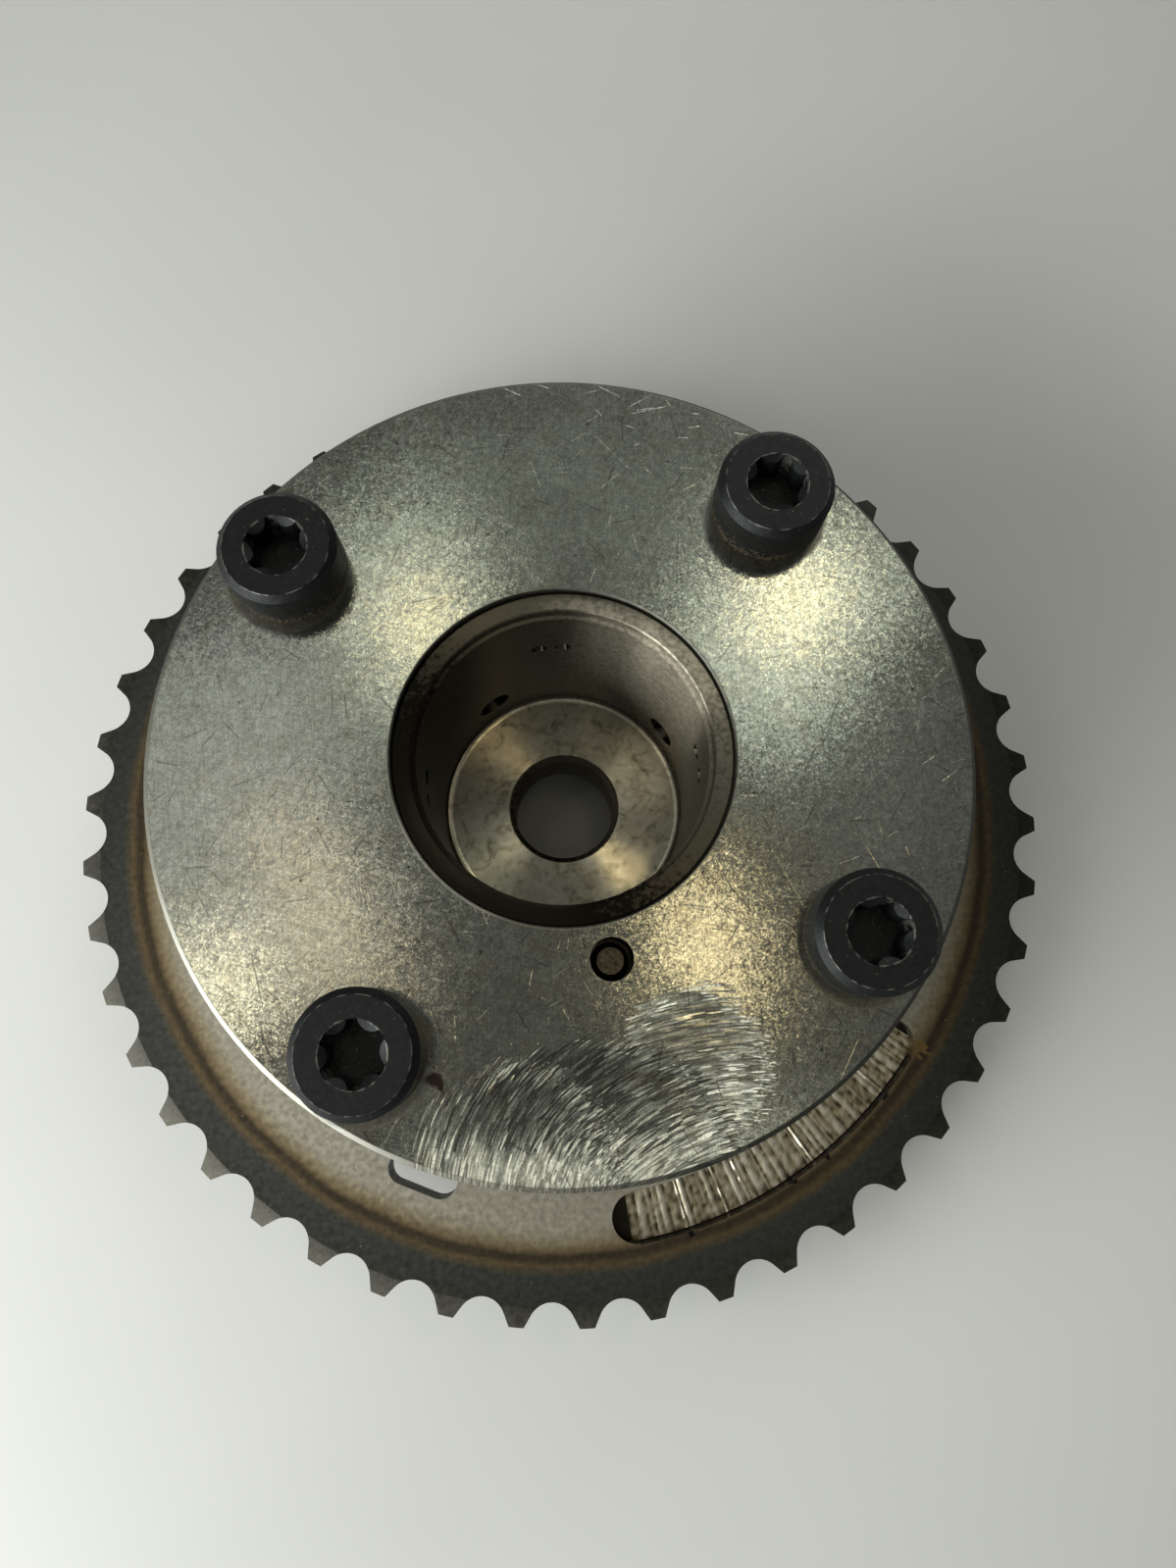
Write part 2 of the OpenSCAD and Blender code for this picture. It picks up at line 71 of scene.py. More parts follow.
cover_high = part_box("front_cover")[1]
sprocket_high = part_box("sprocket")[1]
cover_top = cover_high.z
cover_r = cover_high.x
face_z = sprocket_high.z
tip_r = sprocket_high.x
rim_low = min(v.co.z for v in nodes["sprocket"].data.vertices if v.co.xy.length > RIM_FROM)


def screw_axes():
    """The middle of each screw head, one in each quarter of the plane."""
    points = [v.co for v in nodes["cover_screws"].data.vertices]
    axes = []
    for side_x, side_y in ((1, 1), (-1, 1), (-1, -1), (1, -1)):
        own = [p for p in points if p.x * side_x > 0 and p.y * side_y > 0]
        xs = [p.x for p in own]
        ys = [p.y for p in own]
        axes.append(Vector(((min(xs) + max(xs)) / 2, (min(ys) + max(ys)) / 2, 0)))
    return axes


screws = screw_axes()
print("cover top at", round(cover_top / MM, 2), "mm, tooth tips at", round(tip_r / MM, 2), "mm")
print("screw axes, mm:", [(round(s.x / MM, 1), round(s.y / MM, 1)) for s in screws])

# %% [markdown]
# ## The camera
# The part lies on its back and is seen from just below straight above, very close and through a wide
# lens. That is why the cover looks so much larger than the sprocket behind it. The place and turn here
# come from fitting the known circles of the part to their outlines.

# %% Place the camera
CAMERA_PLACE = Vector((0.34, -23.67, 142.08)) * MM
CAMERA_TURN = (12.096, -1.161, -0.249)
LENS = 23.64
SENSOR = 36.0

camera_data = bpy.data.cameras.new("camera")
camera_data.sensor_fit = "VERTICAL"
camera_data.sensor_height = SENSOR
camera_data.lens = LENS
camera_data.clip_start = 5 * MM
camera = bpy.data.objects.new("camera", camera_data)
camera.location = CAMERA_PLACE
camera.rotation_euler = Euler([math.radians(turn) for turn in CAMERA_TURN], "XYZ")
bpy.context.scene.collection.objects.link(camera)
bpy.context.scene.camera = camera
print("camera", round(camera.location.z / MM), "mm above the floor, lens", LENS, "mm")

# %% [markdown]
# ## Helpers for materials
# Colours are easiest to read as sRGB hex values, but shader sockets hold linear light, so one function
# turns one into the other. A second function adds a node, sets its properties and fills its sockets
# with values or with the outputs of other nodes. Every material below is built with it. Three short ones
# start a material, fill a colour ramp and dress a solid. A Mix node keeps its sockets for numbers, vectors
# and colours side by side under the same names, so those are picked by their index.

# %% Colour and node helpers
MIX_FACTOR = 0
MIX_NUMBER_A, MIX_NUMBER_B = 2, 3
MIX_VECTOR_A, MIX_VECTOR_B, MIX_VECTOR_RESULT = 4, 5, 1
MIX_A, MIX_B, MIX_RESULT = 6, 7, 2


def linear(hex_colour):
    """Linear RGBA of an sRGB colour such as #8e8d86."""
    channels = [int(hex_colour[i:i + 2], 16) / 255 for i in (1, 3, 5)]
    light = [c / 12.92 if c <= 0.04045 else ((c + 0.055) / 1.055) ** 2.4 for c in channels]
    return (*light, 1.0)


def add_node(tree, kind, inputs=None, **settings):
    """Adds a node, sets its properties, and fills sockets with values or with other nodes' outputs."""
    node = tree.nodes.new("ShaderNode" + kind)
    for name, value in settings.items():
        setattr(node, name, value)
    for name, value in (inputs or {}).items():
        if isinstance(value, bpy.types.Node):
            value = value.outputs[0]
        if isinstance(value, bpy.types.NodeSocket):
            tree.links.new(value, node.inputs[name])
        else:
            node.inputs[name].default_value = value
    return node


def new_material(name, metallic, roughness):
    """A material with its shader's metallic and roughness set. Returns it, its tree and its shader."""
    material = bpy.data.materials.new(name)
    material.use_nodes = True
    shader = material.node_tree.nodes["Principled BSDF"]
    shader.inputs["Metallic"].default_value = metallic
    shader.inputs["Roughness"].default_value = roughness
    return material, material.node_tree, shader


def set_stops(ramp, stops):
    """Gives a colour ramp its stops, as (place, hex colour)."""
    elements = ramp.color_ramp.elements
    while len(elements) < len(stops):
        elements.new(1.0)
    for element, (place, hex_colour) in zip(elements, stops):
        element.position = place
        element.color = linear(hex_colour)


def dress(node_name, material):
    """Puts a material on a solid's own slot."""
    nodes[node_name].data.materials[0] = material
    print(node_name, "is dressed in", material.name)


print("helpers ready")

# %% [markdown]
# ## The floor
# The part lies on a pale sheet of paper. The sheet belongs to the stage and not to the part.

# %% Lay the floor
FLOOR_SIZE = 3.0
PAPER_FIBRE = 1.2 * MM
PAPER_RELIEF = 0.02 * MM
PAPER_CLOUDS = 9.0


def matte_paper():
    """Uncoated paper: pale and dull, with faint fibres and slow changes of tone."""
    material, tree, shader = new_material("matte_paper", 0.0, 0.85)
    place = add_node(tree, "TexCoord").outputs["Object"]
    tone = add_node(tree, "TexNoise", {"Vector": place, "Scale": PAPER_CLOUDS, "Detail": 3.0})
    ramp = add_node(tree, "ValToRGB", {"Fac": tone})
    set_stops(ramp, [(0.3, "#d3d4d0"), (0.7, "#dddeda")])
    fibre = add_node(tree, "TexNoise", {"Vector": place, "Scale": 1 / PAPER_FIBRE, "Detail": 4.0})
    bump = add_node(tree, "Bump", {"Height": fibre, "Distance": PAPER_RELIEF, "Strength": 0.5})
    tree.links.new(ramp.outputs["Color"], shader.inputs["Base Color"])
    tree.links.new(bump.outputs["Normal"], shader.inputs["Normal"])
    return material


bpy.ops.object.select_all(action="DESELECT")
bpy.ops.mesh.primitive_plane_add(size=FLOOR_SIZE, location=(0, 0, 0))
floor = bpy.context.object
floor.name = "floor"
floor.data.materials.append(matte_paper())
print("floor", FLOOR_SIZE, "m wide")

# %% [markdown]
# ## The light
# Polished metal shows little of its own colour: it shows the room. So most lamps are placed by reflection:
# for a bright patch on the cover, the ray from the camera is mirrored in the flat cover and followed up to
# the height of the lamps. The last three panels stand beside the part and light its walls and teeth.

# %% Hang the lamps
LAMP_RISE = 0.8
BULB = "#ffe9b4"
PANEL = "#f6fff6"
DAYLIGHT = "#fbfdfc"
LEFT_ROLL = 39
ROOM_COLOUR = "#e9ece6"
ROOM_LIGHT = 0.155


def mirrored(x, y):
    """Where a ray from the camera, mirrored in the cover at (x, y) mm, meets the lamps' height."""
    spot = Vector((x * MM, y * MM, cover_top))
    ray = spot - camera.location
    ray.z = -ray.z
    return spot + ray * (LAMP_RISE / ray.z)


def hang_lamp(name, place, width, depth, power, hex_colour, roll=0.0):
    """A soft lamp that faces the part. Its sizes are in metres, its power in watts, its roll in degrees."""
    bpy.ops.object.light_add(type="AREA", location=place)
    lamp = bpy.context.object
    lamp.name = name
    lamp.data.shape = "RECTANGLE"
    lamp.data.size = width
    lamp.data.size_y = depth
    lamp.data.energy = power
    lamp.data.color = linear(hex_colour)[:3]
    aim = (Vector((0, 0, cover_top)) - Vector(place)).to_track_quat("-Z", "Y")
    lamp.rotation_euler = (aim @ Quaternion((0, 0, 1), math.radians(roll))).to_euler()
    return lamp


lamps = [
    hang_lamp("right_lamp", mirrored(22.6, 15.2), 0.03, 0.03, 0.052, BULB),
    hang_lamp("right_panel", mirrored(21.5, 13), 0.16, 0.22, 0.15, PANEL),
    hang_lamp("left_lamp", mirrored(-13.7, 12.5), 0.03, 0.03, 0.032, BULB),
    hang_lamp("left_top_panel", mirrored(-14.5, 13), 0.14, 0.20, 0.09, PANEL),
    hang_lamp("window_panel", mirrored(-32, -8), 0.34, 0.25, 0.165, DAYLIGHT, roll=LEFT_ROLL),
    hang_lamp("left_low_lamp", mirrored(-21.8, -16.2), 0.20, 0.012, 0.034, "#ffe2b4", roll=LEFT_ROLL),
    hang_lamp("left_rim_lamp", mirrored(-31.2, -22), 0.06, 0.03, 0.05, "#fff3d4", roll=LEFT_ROLL),
    hang_lamp("low_lamp", mirrored(13, -18.7), 0.12, 0.03, 0.085, "#ffe9bd"),
    hang_lamp("top_panel", mirrored(-1, 27), 0.30, 0.15, 0.022, PANEL),
    hang_lamp("right_low_panel", mirrored(31, -5), 0.16, 0.16, 0.006, DAYLIGHT),
    hang_lamp("front_strip", mirrored(4, -43), 0.40, 0.10, 0.11, "#fffdf2"),
    hang_lamp("left_panel", (-0.26, -0.13, 0.16), 0.25, 0.20, 1.05, DAYLIGHT),
    hang_lamp("front_panel", (-0.22, -0.33, 0.22), 0.30, 0.20, 0.64, DAYLIGHT),
    hang_lamp("back_panel", (0.12, 0.42, 0.36), 0.30, 0.20, 0.56, DAYLIGHT),
]
world = bpy.data.worlds.new("soft_room")
world.use_nodes = True
world.node_tree.nodes["Background"].inputs["Color"].default_value = linear(ROOM_COLOUR)
world.node_tree.nodes["Background"].inputs["Strength"].default_value = ROOM_LIGHT
bpy.context.scene.world = world
bpy.context.scene.view_settings.view_transform = "Standard"
for lamp in lamps:
    print(lamp.name, [round(c, 3) for c in lamp.location], lamp.data.energy, "W")

# %% [markdown]
# ## Ground steel for the front cover
# The cover was ground flat on a rotary grinder and has been handled since. Close up, its face is a
# carpet of short crossing strokes, each leaning a little, so a highlight breaks up into glitter. A bump
# texture would round the strokes off. Thin Voronoi cells laid at several turns do better: each cell gets
# one lean of its own, as a stroke does.

# %% Patterns for worn steel
STROKES = {"length": 0.42 * MM, "width": 0.08 * MM, "turns": (0.35, 1.25, 2.05, 2.75), "lean": 0.023}


def thin_cells(tree, place, length, width, turn):
    """A random colour for each of many long thin cells that lie at some turn."""
    spot = add_node(
        tree, "Mapping",
        {"Vector": place, "Rotation": (0, 0, turn), "Scale": (length, width, length)},
        vector_type="TEXTURE",
    )
    return add_node(tree, "TexVoronoi", {"Vector": spot, "Scale": 1.0}).outputs["Color"]


def leaning_grain(tree, place, length, width, turns, lean):
    """The surface normal, leant at random over each cell of some layers of long thin cells."""
    total = add_node(tree, "NewGeometry").outputs["Normal"]
    for turn in turns:
        cell = thin_cells(tree, place, length, width, turn)
        tilt = add_node(tree, "VectorMath", {0: cell, 1: (0.5, 0.5, 0.5)}, operation="SUBTRACT")
        small = add_node(tree, "VectorMath", {0: tilt, "Scale": lean}, operation="SCALE")
        total = add_node(tree, "VectorMath", {0: total, 1: small}, operation="ADD")
    return add_node(tree, "VectorMath", {0: total}, operation="NORMALIZE")


def lone_scratches(tree, place, spacing, length, width, share):
    """Straight scratches, each with its own turn and length, in a share of cells of some spacing."""
    spot = add_node(tree, "Mapping", {"Vector": place, "Scale": (spacing,) * 3}, vector_type="TEXTURE")
    cell = add_node(tree, "TexVoronoi", {"Vector": spot, "Scale": 1.0}, voronoi_dimensions="2D")
    chance = add_node(tree, "SeparateColor", {0: cell.outputs["Color"]})
    arm = add_node(tree, "VectorMath", {0: spot, 1: cell.outputs["Position"]}, operation="SUBTRACT")
    turn = add_node(tree, "Math", {0: chance.outputs[0], 1: math.tau}, operation="MULTIPLY")
    turned = add_node(tree, "VectorRotate", {"Vector": arm, "Angle": turn}, rotation_type="Z_AXIS")
    parts = add_node(tree, "SeparateXYZ", {0: turned})
    reach = add_node(tree, "Math", {0: chance.outputs[1], 1: length / spacing / 2}, operation="MULTIPLY")
    along = add_node(tree, "Math", {0: parts.outputs["X"], 1: 0.0, 2: reach}, operation="COMPARE")
    off_line = add_node(tree, "Math", {0: parts.outputs["Y"]}, operation="ABSOLUTE")
    across = add_node(tree, "MapRange", {"Value": off_line, "From Min": width / spacing, "From Max": 0.0})
    kept = add_node(tree, "Math", {0: chance.outputs[2], 1: share}, operation="LESS_THAN")
    line = add_node(tree, "Math", {0: along, 1: across}, operation="MULTIPLY")
    return add_node(tree, "Math", {0: line, 1: kept}, operation="MULTIPLY")


def nearest_spot(tree, place, spots):
    """Distance in the plane from the nearest of some points."""
    flat = add_node(tree, "VectorMath", {0: place, 1: (1, 1, 0)}, operation="MULTIPLY")
    nearest = None
    for spot in spots:
        away = add_node(tree, "VectorMath", {0: flat, 1: spot}, operation="DISTANCE").outputs["Value"]
        if nearest is None:
            nearest = away
        else:
            nearest = add_node(tree, "Math", {0: nearest, 1: away}, operation="MINIMUM").outputs[0]
    return nearest


print("patterns ready, strokes", STROKES["length"] / MM, "by", STROKES["width"] / MM, "mm")

# %% [markdown]
# The lower edge of the cover was dressed with a hand grinder, in three passes. The strokes of a pass
# follow arcs about a pivot, so they are Voronoi cells again, now laid out by distance from the pivot and
# angle round it.

# %% Strokes of the hand-ground patch
# Places and radii in mm; tones are painted light and shade, the brightness of a pass towards the axis and
# towards the rim.
PASSES = (
    {"centre": (12.0, -29.2), "radius": 7.0, "pivot": (17.0, -54.0),
     "leans": (-0.05, 0.0), "bowl_lean": 0.045, "tones": (1.5, 1.5)},
    {"centre": (3.5, -40.5), "radius": 13.6, "pivot": (19.0, -53.0),
     "leans": (-0.035, 0.05), "bowl_lean": 0.05, "tones": (0.7, 1.25)},
    {"centre": (-4.0, -38.0), "radius": 9.2, "pivot": (8.0, -41.0),
     "leans": (-0.045, 0.055), "bowl_lean": 0.05, "tones": (0.6, 1.3)},
)
PASS_STROKE_LENGTH = 1.2 * MM
PASS_STROKE_WIDTH = 0.13 * MM


def pass_strokes(tree, flat, centre, pivot):
    """Strokes on arcs about a pivot. Returns three random values for each, and the way across it."""
    arm = add_node(tree, "VectorMath", {0: flat, 1: pivot}, operation="SUBTRACT")
    far = add_node(tree, "VectorMath", {0: arm}, operation="LENGTH").outputs["Value"]
    outwards = add_node(tree, "VectorMath", {0: arm}, operation="NORMALIZE")
    parts = add_node(tree, "SeparateXYZ", {0: arm})
    turn = add_node(tree, "Math", {0: parts.outputs["Y"], 1: parts.outputs["X"]}, operation="ARCTAN2")
    across = add_node(tree, "Math", {0: far, 1: 1 / PASS_STROKE_WIDTH}, operation="MULTIPLY")
    reach = (centre - pivot).length
    along = add_node(tree, "Math", {0: turn, 1: reach / PASS_STROKE_LENGTH}, operation="MULTIPLY")
    spot = add_node(tree, "CombineXYZ", {"X": across, "Y": along})
    cell = add_node(tree, "TexVoronoi", {"Vector": spot, "Scale": 1.0}, voronoi_dimensions="2D")
    chance = add_node(tree, "SeparateColor", {0: cell.outputs["Color"]})
    return chance.outputs, outwards


print("patch of", len(PASSES), "passes, strokes", PASS_STROKE_LENGTH / MM, "mm long")

# %% [markdown]
# Each stroke leans across its length and has a shade of its own. A pass also leaves a shallow bowl, so its
# border leans inwards and catches other lamps than the middle does. Over all of it lies painted light: a
# painted shade towards the axis and a painted highlight towards the rim, and on the first pass a painted
# sheen all over.

# %% Lean and shade of a pass
PASS_RAG = 0.9 * MM
PASS_FADE = 0.3 * MM
PASS_SHADES = (0.55, 1.9)
LIP_WIDTH = 1.1 * MM
LIP_LEAN = 4.0
BOWL_EDGE = 2.5 * MM
RIM_LEAN = 0.055
RIM_LEAN_FROM = 0.88 * cover_r
PAINTED_TONES_FROM = 0.72 * cover_r
PAINTED_TONES_TO = 0.95 * cover_r


def grinder_pass(tree, place, normal, centre, radius, pivot, leans, bowl_lean, tones):
    """One pass inside a circle. Returns where it covers, its shade with the pass's painted light in it, and
    the new normal.
    """
    centre = Vector((*centre, 0.0)) * MM
    pivot = Vector((*pivot, 0.0)) * MM
    flat = add_node(tree, "VectorMath", {0: place, 1: (1, 1, 0)}, operation="MULTIPLY")
    chance, outwards = pass_strokes(tree, flat, centre, pivot)

    inwards = add_node(tree, "VectorMath", {0: centre, 1: flat}, operation="SUBTRACT")
    away = add_node(tree, "VectorMath", {0: inwards}, operation="LENGTH").outputs["Value"]
    depth = add_node(tree, "Math", {0: radius * MM, 1: away}, operation="SUBTRACT")
    rag = add_node(tree, "MapRange", {"Value": chance[1], "To Min": -PASS_RAG, "To Max": PASS_RAG})
    ragged = add_node(tree, "Math", {0: depth, 1: rag}, operation="ADD")
    covered = add_node(tree, "MapRange", {"Value": ragged, "From Max": PASS_FADE})

    lean = add_node(tree, "MapRange", {"Value": chance[0], "To Min": leans[0], "To Max": leans[1]})
    lip = add_node(
        tree, "MapRange",
        {"Value": ragged, "From Min": LIP_WIDTH, "From Max": 0.0, "To Min": 1.0, "To Max": LIP_LEAN},
    )
    more = add_node(tree, "Math", {0: lean, 1: lip}, operation="MULTIPLY")
    stroke = add_node(tree, "VectorMath", {0: outwards, "Scale": more.outputs[0]}, operation="SCALE")
    slope = add_node(
        tree, "MapRange",
        {"Value": depth, "From Min": BOWL_EDGE, "From Max": 0.0, "To Max": bowl_lean},
    )
    to_middle = add_node(tree, "VectorMath", {0: inwards}, operation="NORMALIZE")
    bowl = add_node(tree, "VectorMath", {0: to_middle, "Scale": slope.outputs[0]}, operation="SCALE")
    from_axis = add_node(tree, "VectorMath", {0: flat}, operation="LENGTH").outputs["Value"]
    fall = add_node(
        tree, "MapRange",
        {"Value": from_axis, "From Min": RIM_LEAN_FROM, "From Max": cover_r, "To Max": RIM_LEAN},
    )
    to_rim = add_node(tree, "VectorMath", {0: flat}, operation="NORMALIZE")
    rim = add_node(tree, "VectorMath", {0: to_rim, "Scale": fall.outputs[0]}, operation="SCALE")
    leant = add_node(tree, "NewGeometry").outputs["Normal"]
    for tilt in (stroke, bowl, rim):
        leant = add_node(tree, "VectorMath", {0: leant, 1: tilt}, operation="ADD")
    both = add_node(
        tree, "Mix",
        {MIX_FACTOR: covered, MIX_VECTOR_A: normal, MIX_VECTOR_B: leant},
        data_type="VECTOR",
    )

    few = add_node(tree, "Math", {0: chance[2], 1: 2.0}, operation="POWER")
    own = add_node(tree, "MapRange", {"Value": few, "To Min": PASS_SHADES[0], "To Max": PASS_SHADES[1]})
    # Painted light and shade of the pass, set by the distance from the axis.
    tone = add_node(
        tree, "MapRange",
        {"Value": from_axis, "From Min": PAINTED_TONES_FROM, "From Max": PAINTED_TONES_TO,
         "To Min": tones[0], "To Max": tones[1]},
    )
    shade = add_node(tree, "Math", {0: own, 1: tone}, operation="MULTIPLY")
    new_normal = add_node(tree, "VectorMath", {0: both.outputs[MIX_VECTOR_RESULT]}, operation="NORMALIZE")
    return covered, shade, new_normal


print("strokes of a pass are shaded from", PASS_SHADES[0], "to", PASS_SHADES[1])

# %% [markdown]
# The colour of the bare face comes first. Ground steel is a pale grey that changes slowly over some
# millimetres. Dried oil stains it brown in small blots, each stroke is a little lighter or darker than
# the next one, and pits and short scratches have filled with dark oil.

# %% Colour the ground face
STAIN_SIZE = 2.4 * MM
FLECK_TURNS = (0.8, 1.7, 2.9)
FLECK_LENGTH = 0.7 * MM
FLECK_WIDTH = 0.12 * MM
FLECK_SHADES = (0.55, 1.45)
PIT_SPACING = 3.3 * MM
DARK_SCRATCH = {"spacing": 2.7 * MM, "length": 3.6 * MM, "width": 0.1 * MM, "share": 0.35}
DARK_SCRATCH_DEPTH = 0.65


def stroke_flecks(tree, place):
    """A shade for each stroke, from layers of long thin cells laid at some turns."""
    flecks = None
    for turn in FLECK_TURNS:
        cell = thin_cells(tree, place, FLECK_LENGTH, FLECK_WIDTH, turn)
        tint = add_node(tree, "SeparateColor", {0: cell})
        flecks = tint if flecks is None else add_node(tree, "Math", {0: flecks, 1: tint}, operation="ADD")
    return add_node(
        tree, "MapRange",
        {"Value": flecks, "From Max": len(FLECK_TURNS),
         "To Min": FLECK_SHADES[0], "To Max": FLECK_SHADES[1]},
    )


def ground_face(tree, place, tone):
    """Colour of the bare face: grey steel, brown stains, flecked strokes, pits and dark scratches."""
    steel = add_node(tree, "ValToRGB", {"Fac": tone})
    set_stops(steel, [(0.3, "#9d9f94"), (0.7, "#a7a99e")])
    blots = add_node(
        tree, "TexNoise",
        {"Vector": place, "Scale": 1 / STAIN_SIZE, "Detail": 6.0, "Roughness": 0.7},
    )
    stain = add_node(tree, "MapRange", {"Value": blots, "From Min": 0.48, "From Max": 0.75, "To Max": 0.4})
    stained = add_node(
        tree, "Mix",
        {MIX_FACTOR: stain, MIX_A: steel.outputs["Color"], MIX_B: linear("#8c8068")},
        data_type="RGBA",
    )
    flecked = add_node(
        tree, "VectorMath",
        {0: stained.outputs[MIX_RESULT], "Scale": stroke_flecks(tree, place).outputs[0]},
        operation="SCALE",
    )
    pit_cells = add_node(tree, "TexVoronoi", {"Vector": place, "Scale": 1 / PIT_SPACING})
    pits = add_node(
        tree, "MapRange",
        {"Value": pit_cells.outputs["Distance"], "From Min": 0.06, "From Max": 0.03, "To Max": 0.8},
    )
    lines = lone_scratches(tree, place, **DARK_SCRATCH)
    dark_lines = add_node(tree, "Math", {0: lines, 1: DARK_SCRATCH_DEPTH}, operation="MULTIPLY")
    colour = flecked.outputs["Vector"]
    for share, darkening in ((pits, "#2e2a24"), (dark_lines, "#45423a")):
        layer = {MIX_FACTOR: share, MIX_A: colour, MIX_B: linear(darkening)}
        colour = add_node(tree, "Mix", layer, data_type="RGBA").outputs[MIX_RESULT]
    return colour


print("face colour ready, flecks", FLECK_LENGTH / MM, "by", FLECK_WIDTH / MM, "mm")

# %% [markdown]
# Grime gathers where a cloth doesn't reach, at the foot of the screw heads. The edge of the bore and the
# chamfer of the rim take one tone, dark on most of the round and lighter towards the lower-left side as a
# painted highlight. A spot of rust sits beside a screw.

# %% Soil the cover
HEAD_R = 5.7 * MM
BORE_R = 16.66 * MM
GRIME_SIDE = Vector((-0.2, -0.7, 0)) * MM
SMEAR_SIZE = 1.3 * MM
BORE_TONE_BAND = (0.3 * MM, 0.1 * MM)
RIM_TONE_BAND = (0.6 * MM, 0.45 * MM)
RIM_DROP = 0.7 * MM
# The side of the rim where the painted highlight is brightest.
RIM_HIGHLIGHT_WAY = Vector((-0.707, -0.707, 0.0))
RIM_TONES_AND_HIGHLIGHT = ((0.45, "#23201b"), (0.72, "#77756a"), (0.88, "#8d8b80"), (0.97, "#d6d5ca"))
RUST_SPOT = Vector((-11.8, -30.5, 46.0)) * MM
RUST_REACH = 1.4 * MM


def edge_tone_with_highlight(tree, place):
    """How much of the edge tone, a painted highlight on its lower-left side, lies on the bore's edge and
    the rim's chamfer.
    """
    from_axis = nearest_spot(tree, place, [Vector((0, 0, 0))])
    inner = add_node(
        tree, "MapRange",
        {"Value": from_axis, "From Min": BORE_R + BORE_TONE_BAND[0], "From Max": BORE_R + BORE_TONE_BAND[1],
         "To Max": 0.85},
    )
    at_rim = add_node(
        tree, "MapRange",
        {"Value": from_axis, "From Min": cover_r - RIM_TONE_BAND[0], "From Max": cover_r - RIM_TONE_BAND[1],
         "To Max": 0.9},
    )
    height = add_node(tree, "SeparateXYZ", {0: place}).outputs["Z"]
    chamfer = add_node(tree, "Math", {0: height, 1: cover_top - RIM_DROP}, operation="GREATER_THAN")
    outer = add_node(tree, "Math", {0: at_rim, 1: chamfer}, operation="MULTIPLY")
    return add_node(tree, "Math", {0: inner, 1: outer}, operation="MAXIMUM")


def cover_dirt_and_highlight(tree, place, clean):
    """Grime, rust and the edge tone with its painted highlight, over a clean colour. Returns the colour and
    where grime and the edge tone lie.
    """
    away = nearest_spot(tree, place, [axis + GRIME_SIDE for axis in screws])
    smear = add_node(tree, "TexNoise", {"Vector": place, "Scale": 1 / SMEAR_SIZE, "Detail": 5.0})
    smear_r = add_node(tree, "MapRange", {"Value": smear, "To Min": 0.05 * MM, "To Max": 1.1 * MM})
    grime_gap = add_node(tree, "Math", {0: away, 1: HEAD_R}, operation="SUBTRACT")
    reach = add_node(tree, "Math", {0: grime_gap, 1: smear_r}, operation="DIVIDE")
    grime = add_node(tree, "MapRange", {"Value": reach, "From Min": 1.0, "From Max": 0.2, "To Max": 0.6})
    edge = edge_tone_with_highlight(tree, place)
    flat = add_node(tree, "VectorMath", {0: place, 1: (1, 1, 0)}, operation="MULTIPLY")
    outwards = add_node(tree, "VectorMath", {0: flat}, operation="NORMALIZE")
    facing = add_node(tree, "VectorMath", {0: outwards, 1: RIM_HIGHLIGHT_WAY}, operation="DOT_PRODUCT")
    # Edge tone by the side it faces: dark on most of the round, a painted highlight towards the lower left.
    rim_tone_and_highlight = add_node(tree, "ValToRGB", {"Fac": facing.outputs["Value"]})
    set_stops(rim_tone_and_highlight, RIM_TONES_AND_HIGHLIGHT)
    rust_away = add_node(tree, "VectorMath", {0: place, 1: RUST_SPOT}, operation="DISTANCE")
    rust_rag = add_node(
        tree, "MapRange",
        {"Value": smear, "From Min": 0.35, "From Max": 0.65, "To Max": RUST_REACH},
    )
    rust_edge = add_node(tree, "Math", {0: rust_away.outputs["Value"], 1: rust_rag}, operation="SUBTRACT")
    rust = add_node(
        tree, "MapRange",
        {"Value": rust_edge, "From Min": 0.2 * MM, "From Max": -0.3 * MM, "To Max": 0.85},
    )
    colour = clean
    tints = (rim_tone_and_highlight.outputs["Color"], linear("#3a3227"), linear("#3d2318"))
    for share, tint in zip((edge, grime, rust), tints):
        layer = {MIX_FACTOR: share, MIX_A: colour, MIX_B: tint}
        colour = add_node(tree, "Mix", layer, data_type="RGBA").outputs[MIX_RESULT]
    return colour, add_node(tree, "Math", {0: grime, 1: edge}, operation="MAXIMUM")


print("dirt ready, the rust reaches", RUST_REACH / MM, "mm at most")

# %% [markdown]
# Now the layers come together. Leaning strokes and long fine scratches make the normal, and each grinder
# pass replaces normal, roughness and brightness, painted light included, inside its own circle. Dirt and
# the edge tone are duller than bare steel.

# %% Make the cover's steel
TONE_SIZE = 6 * MM
SCRATCHES = ((9.0, 16.0, 0.04, 0.3), (4.1, 7.0, 0.035, 0.25), (1.7, 3.0, 0.03, 0.3))
SCRATCH_DEPTH = 0.0035 * MM
FACE_ROUGHNESS = (0.14, 0.16)
PASS_ROUGHNESS = 0.13
DIRT_ROUGHNESS = 0.3


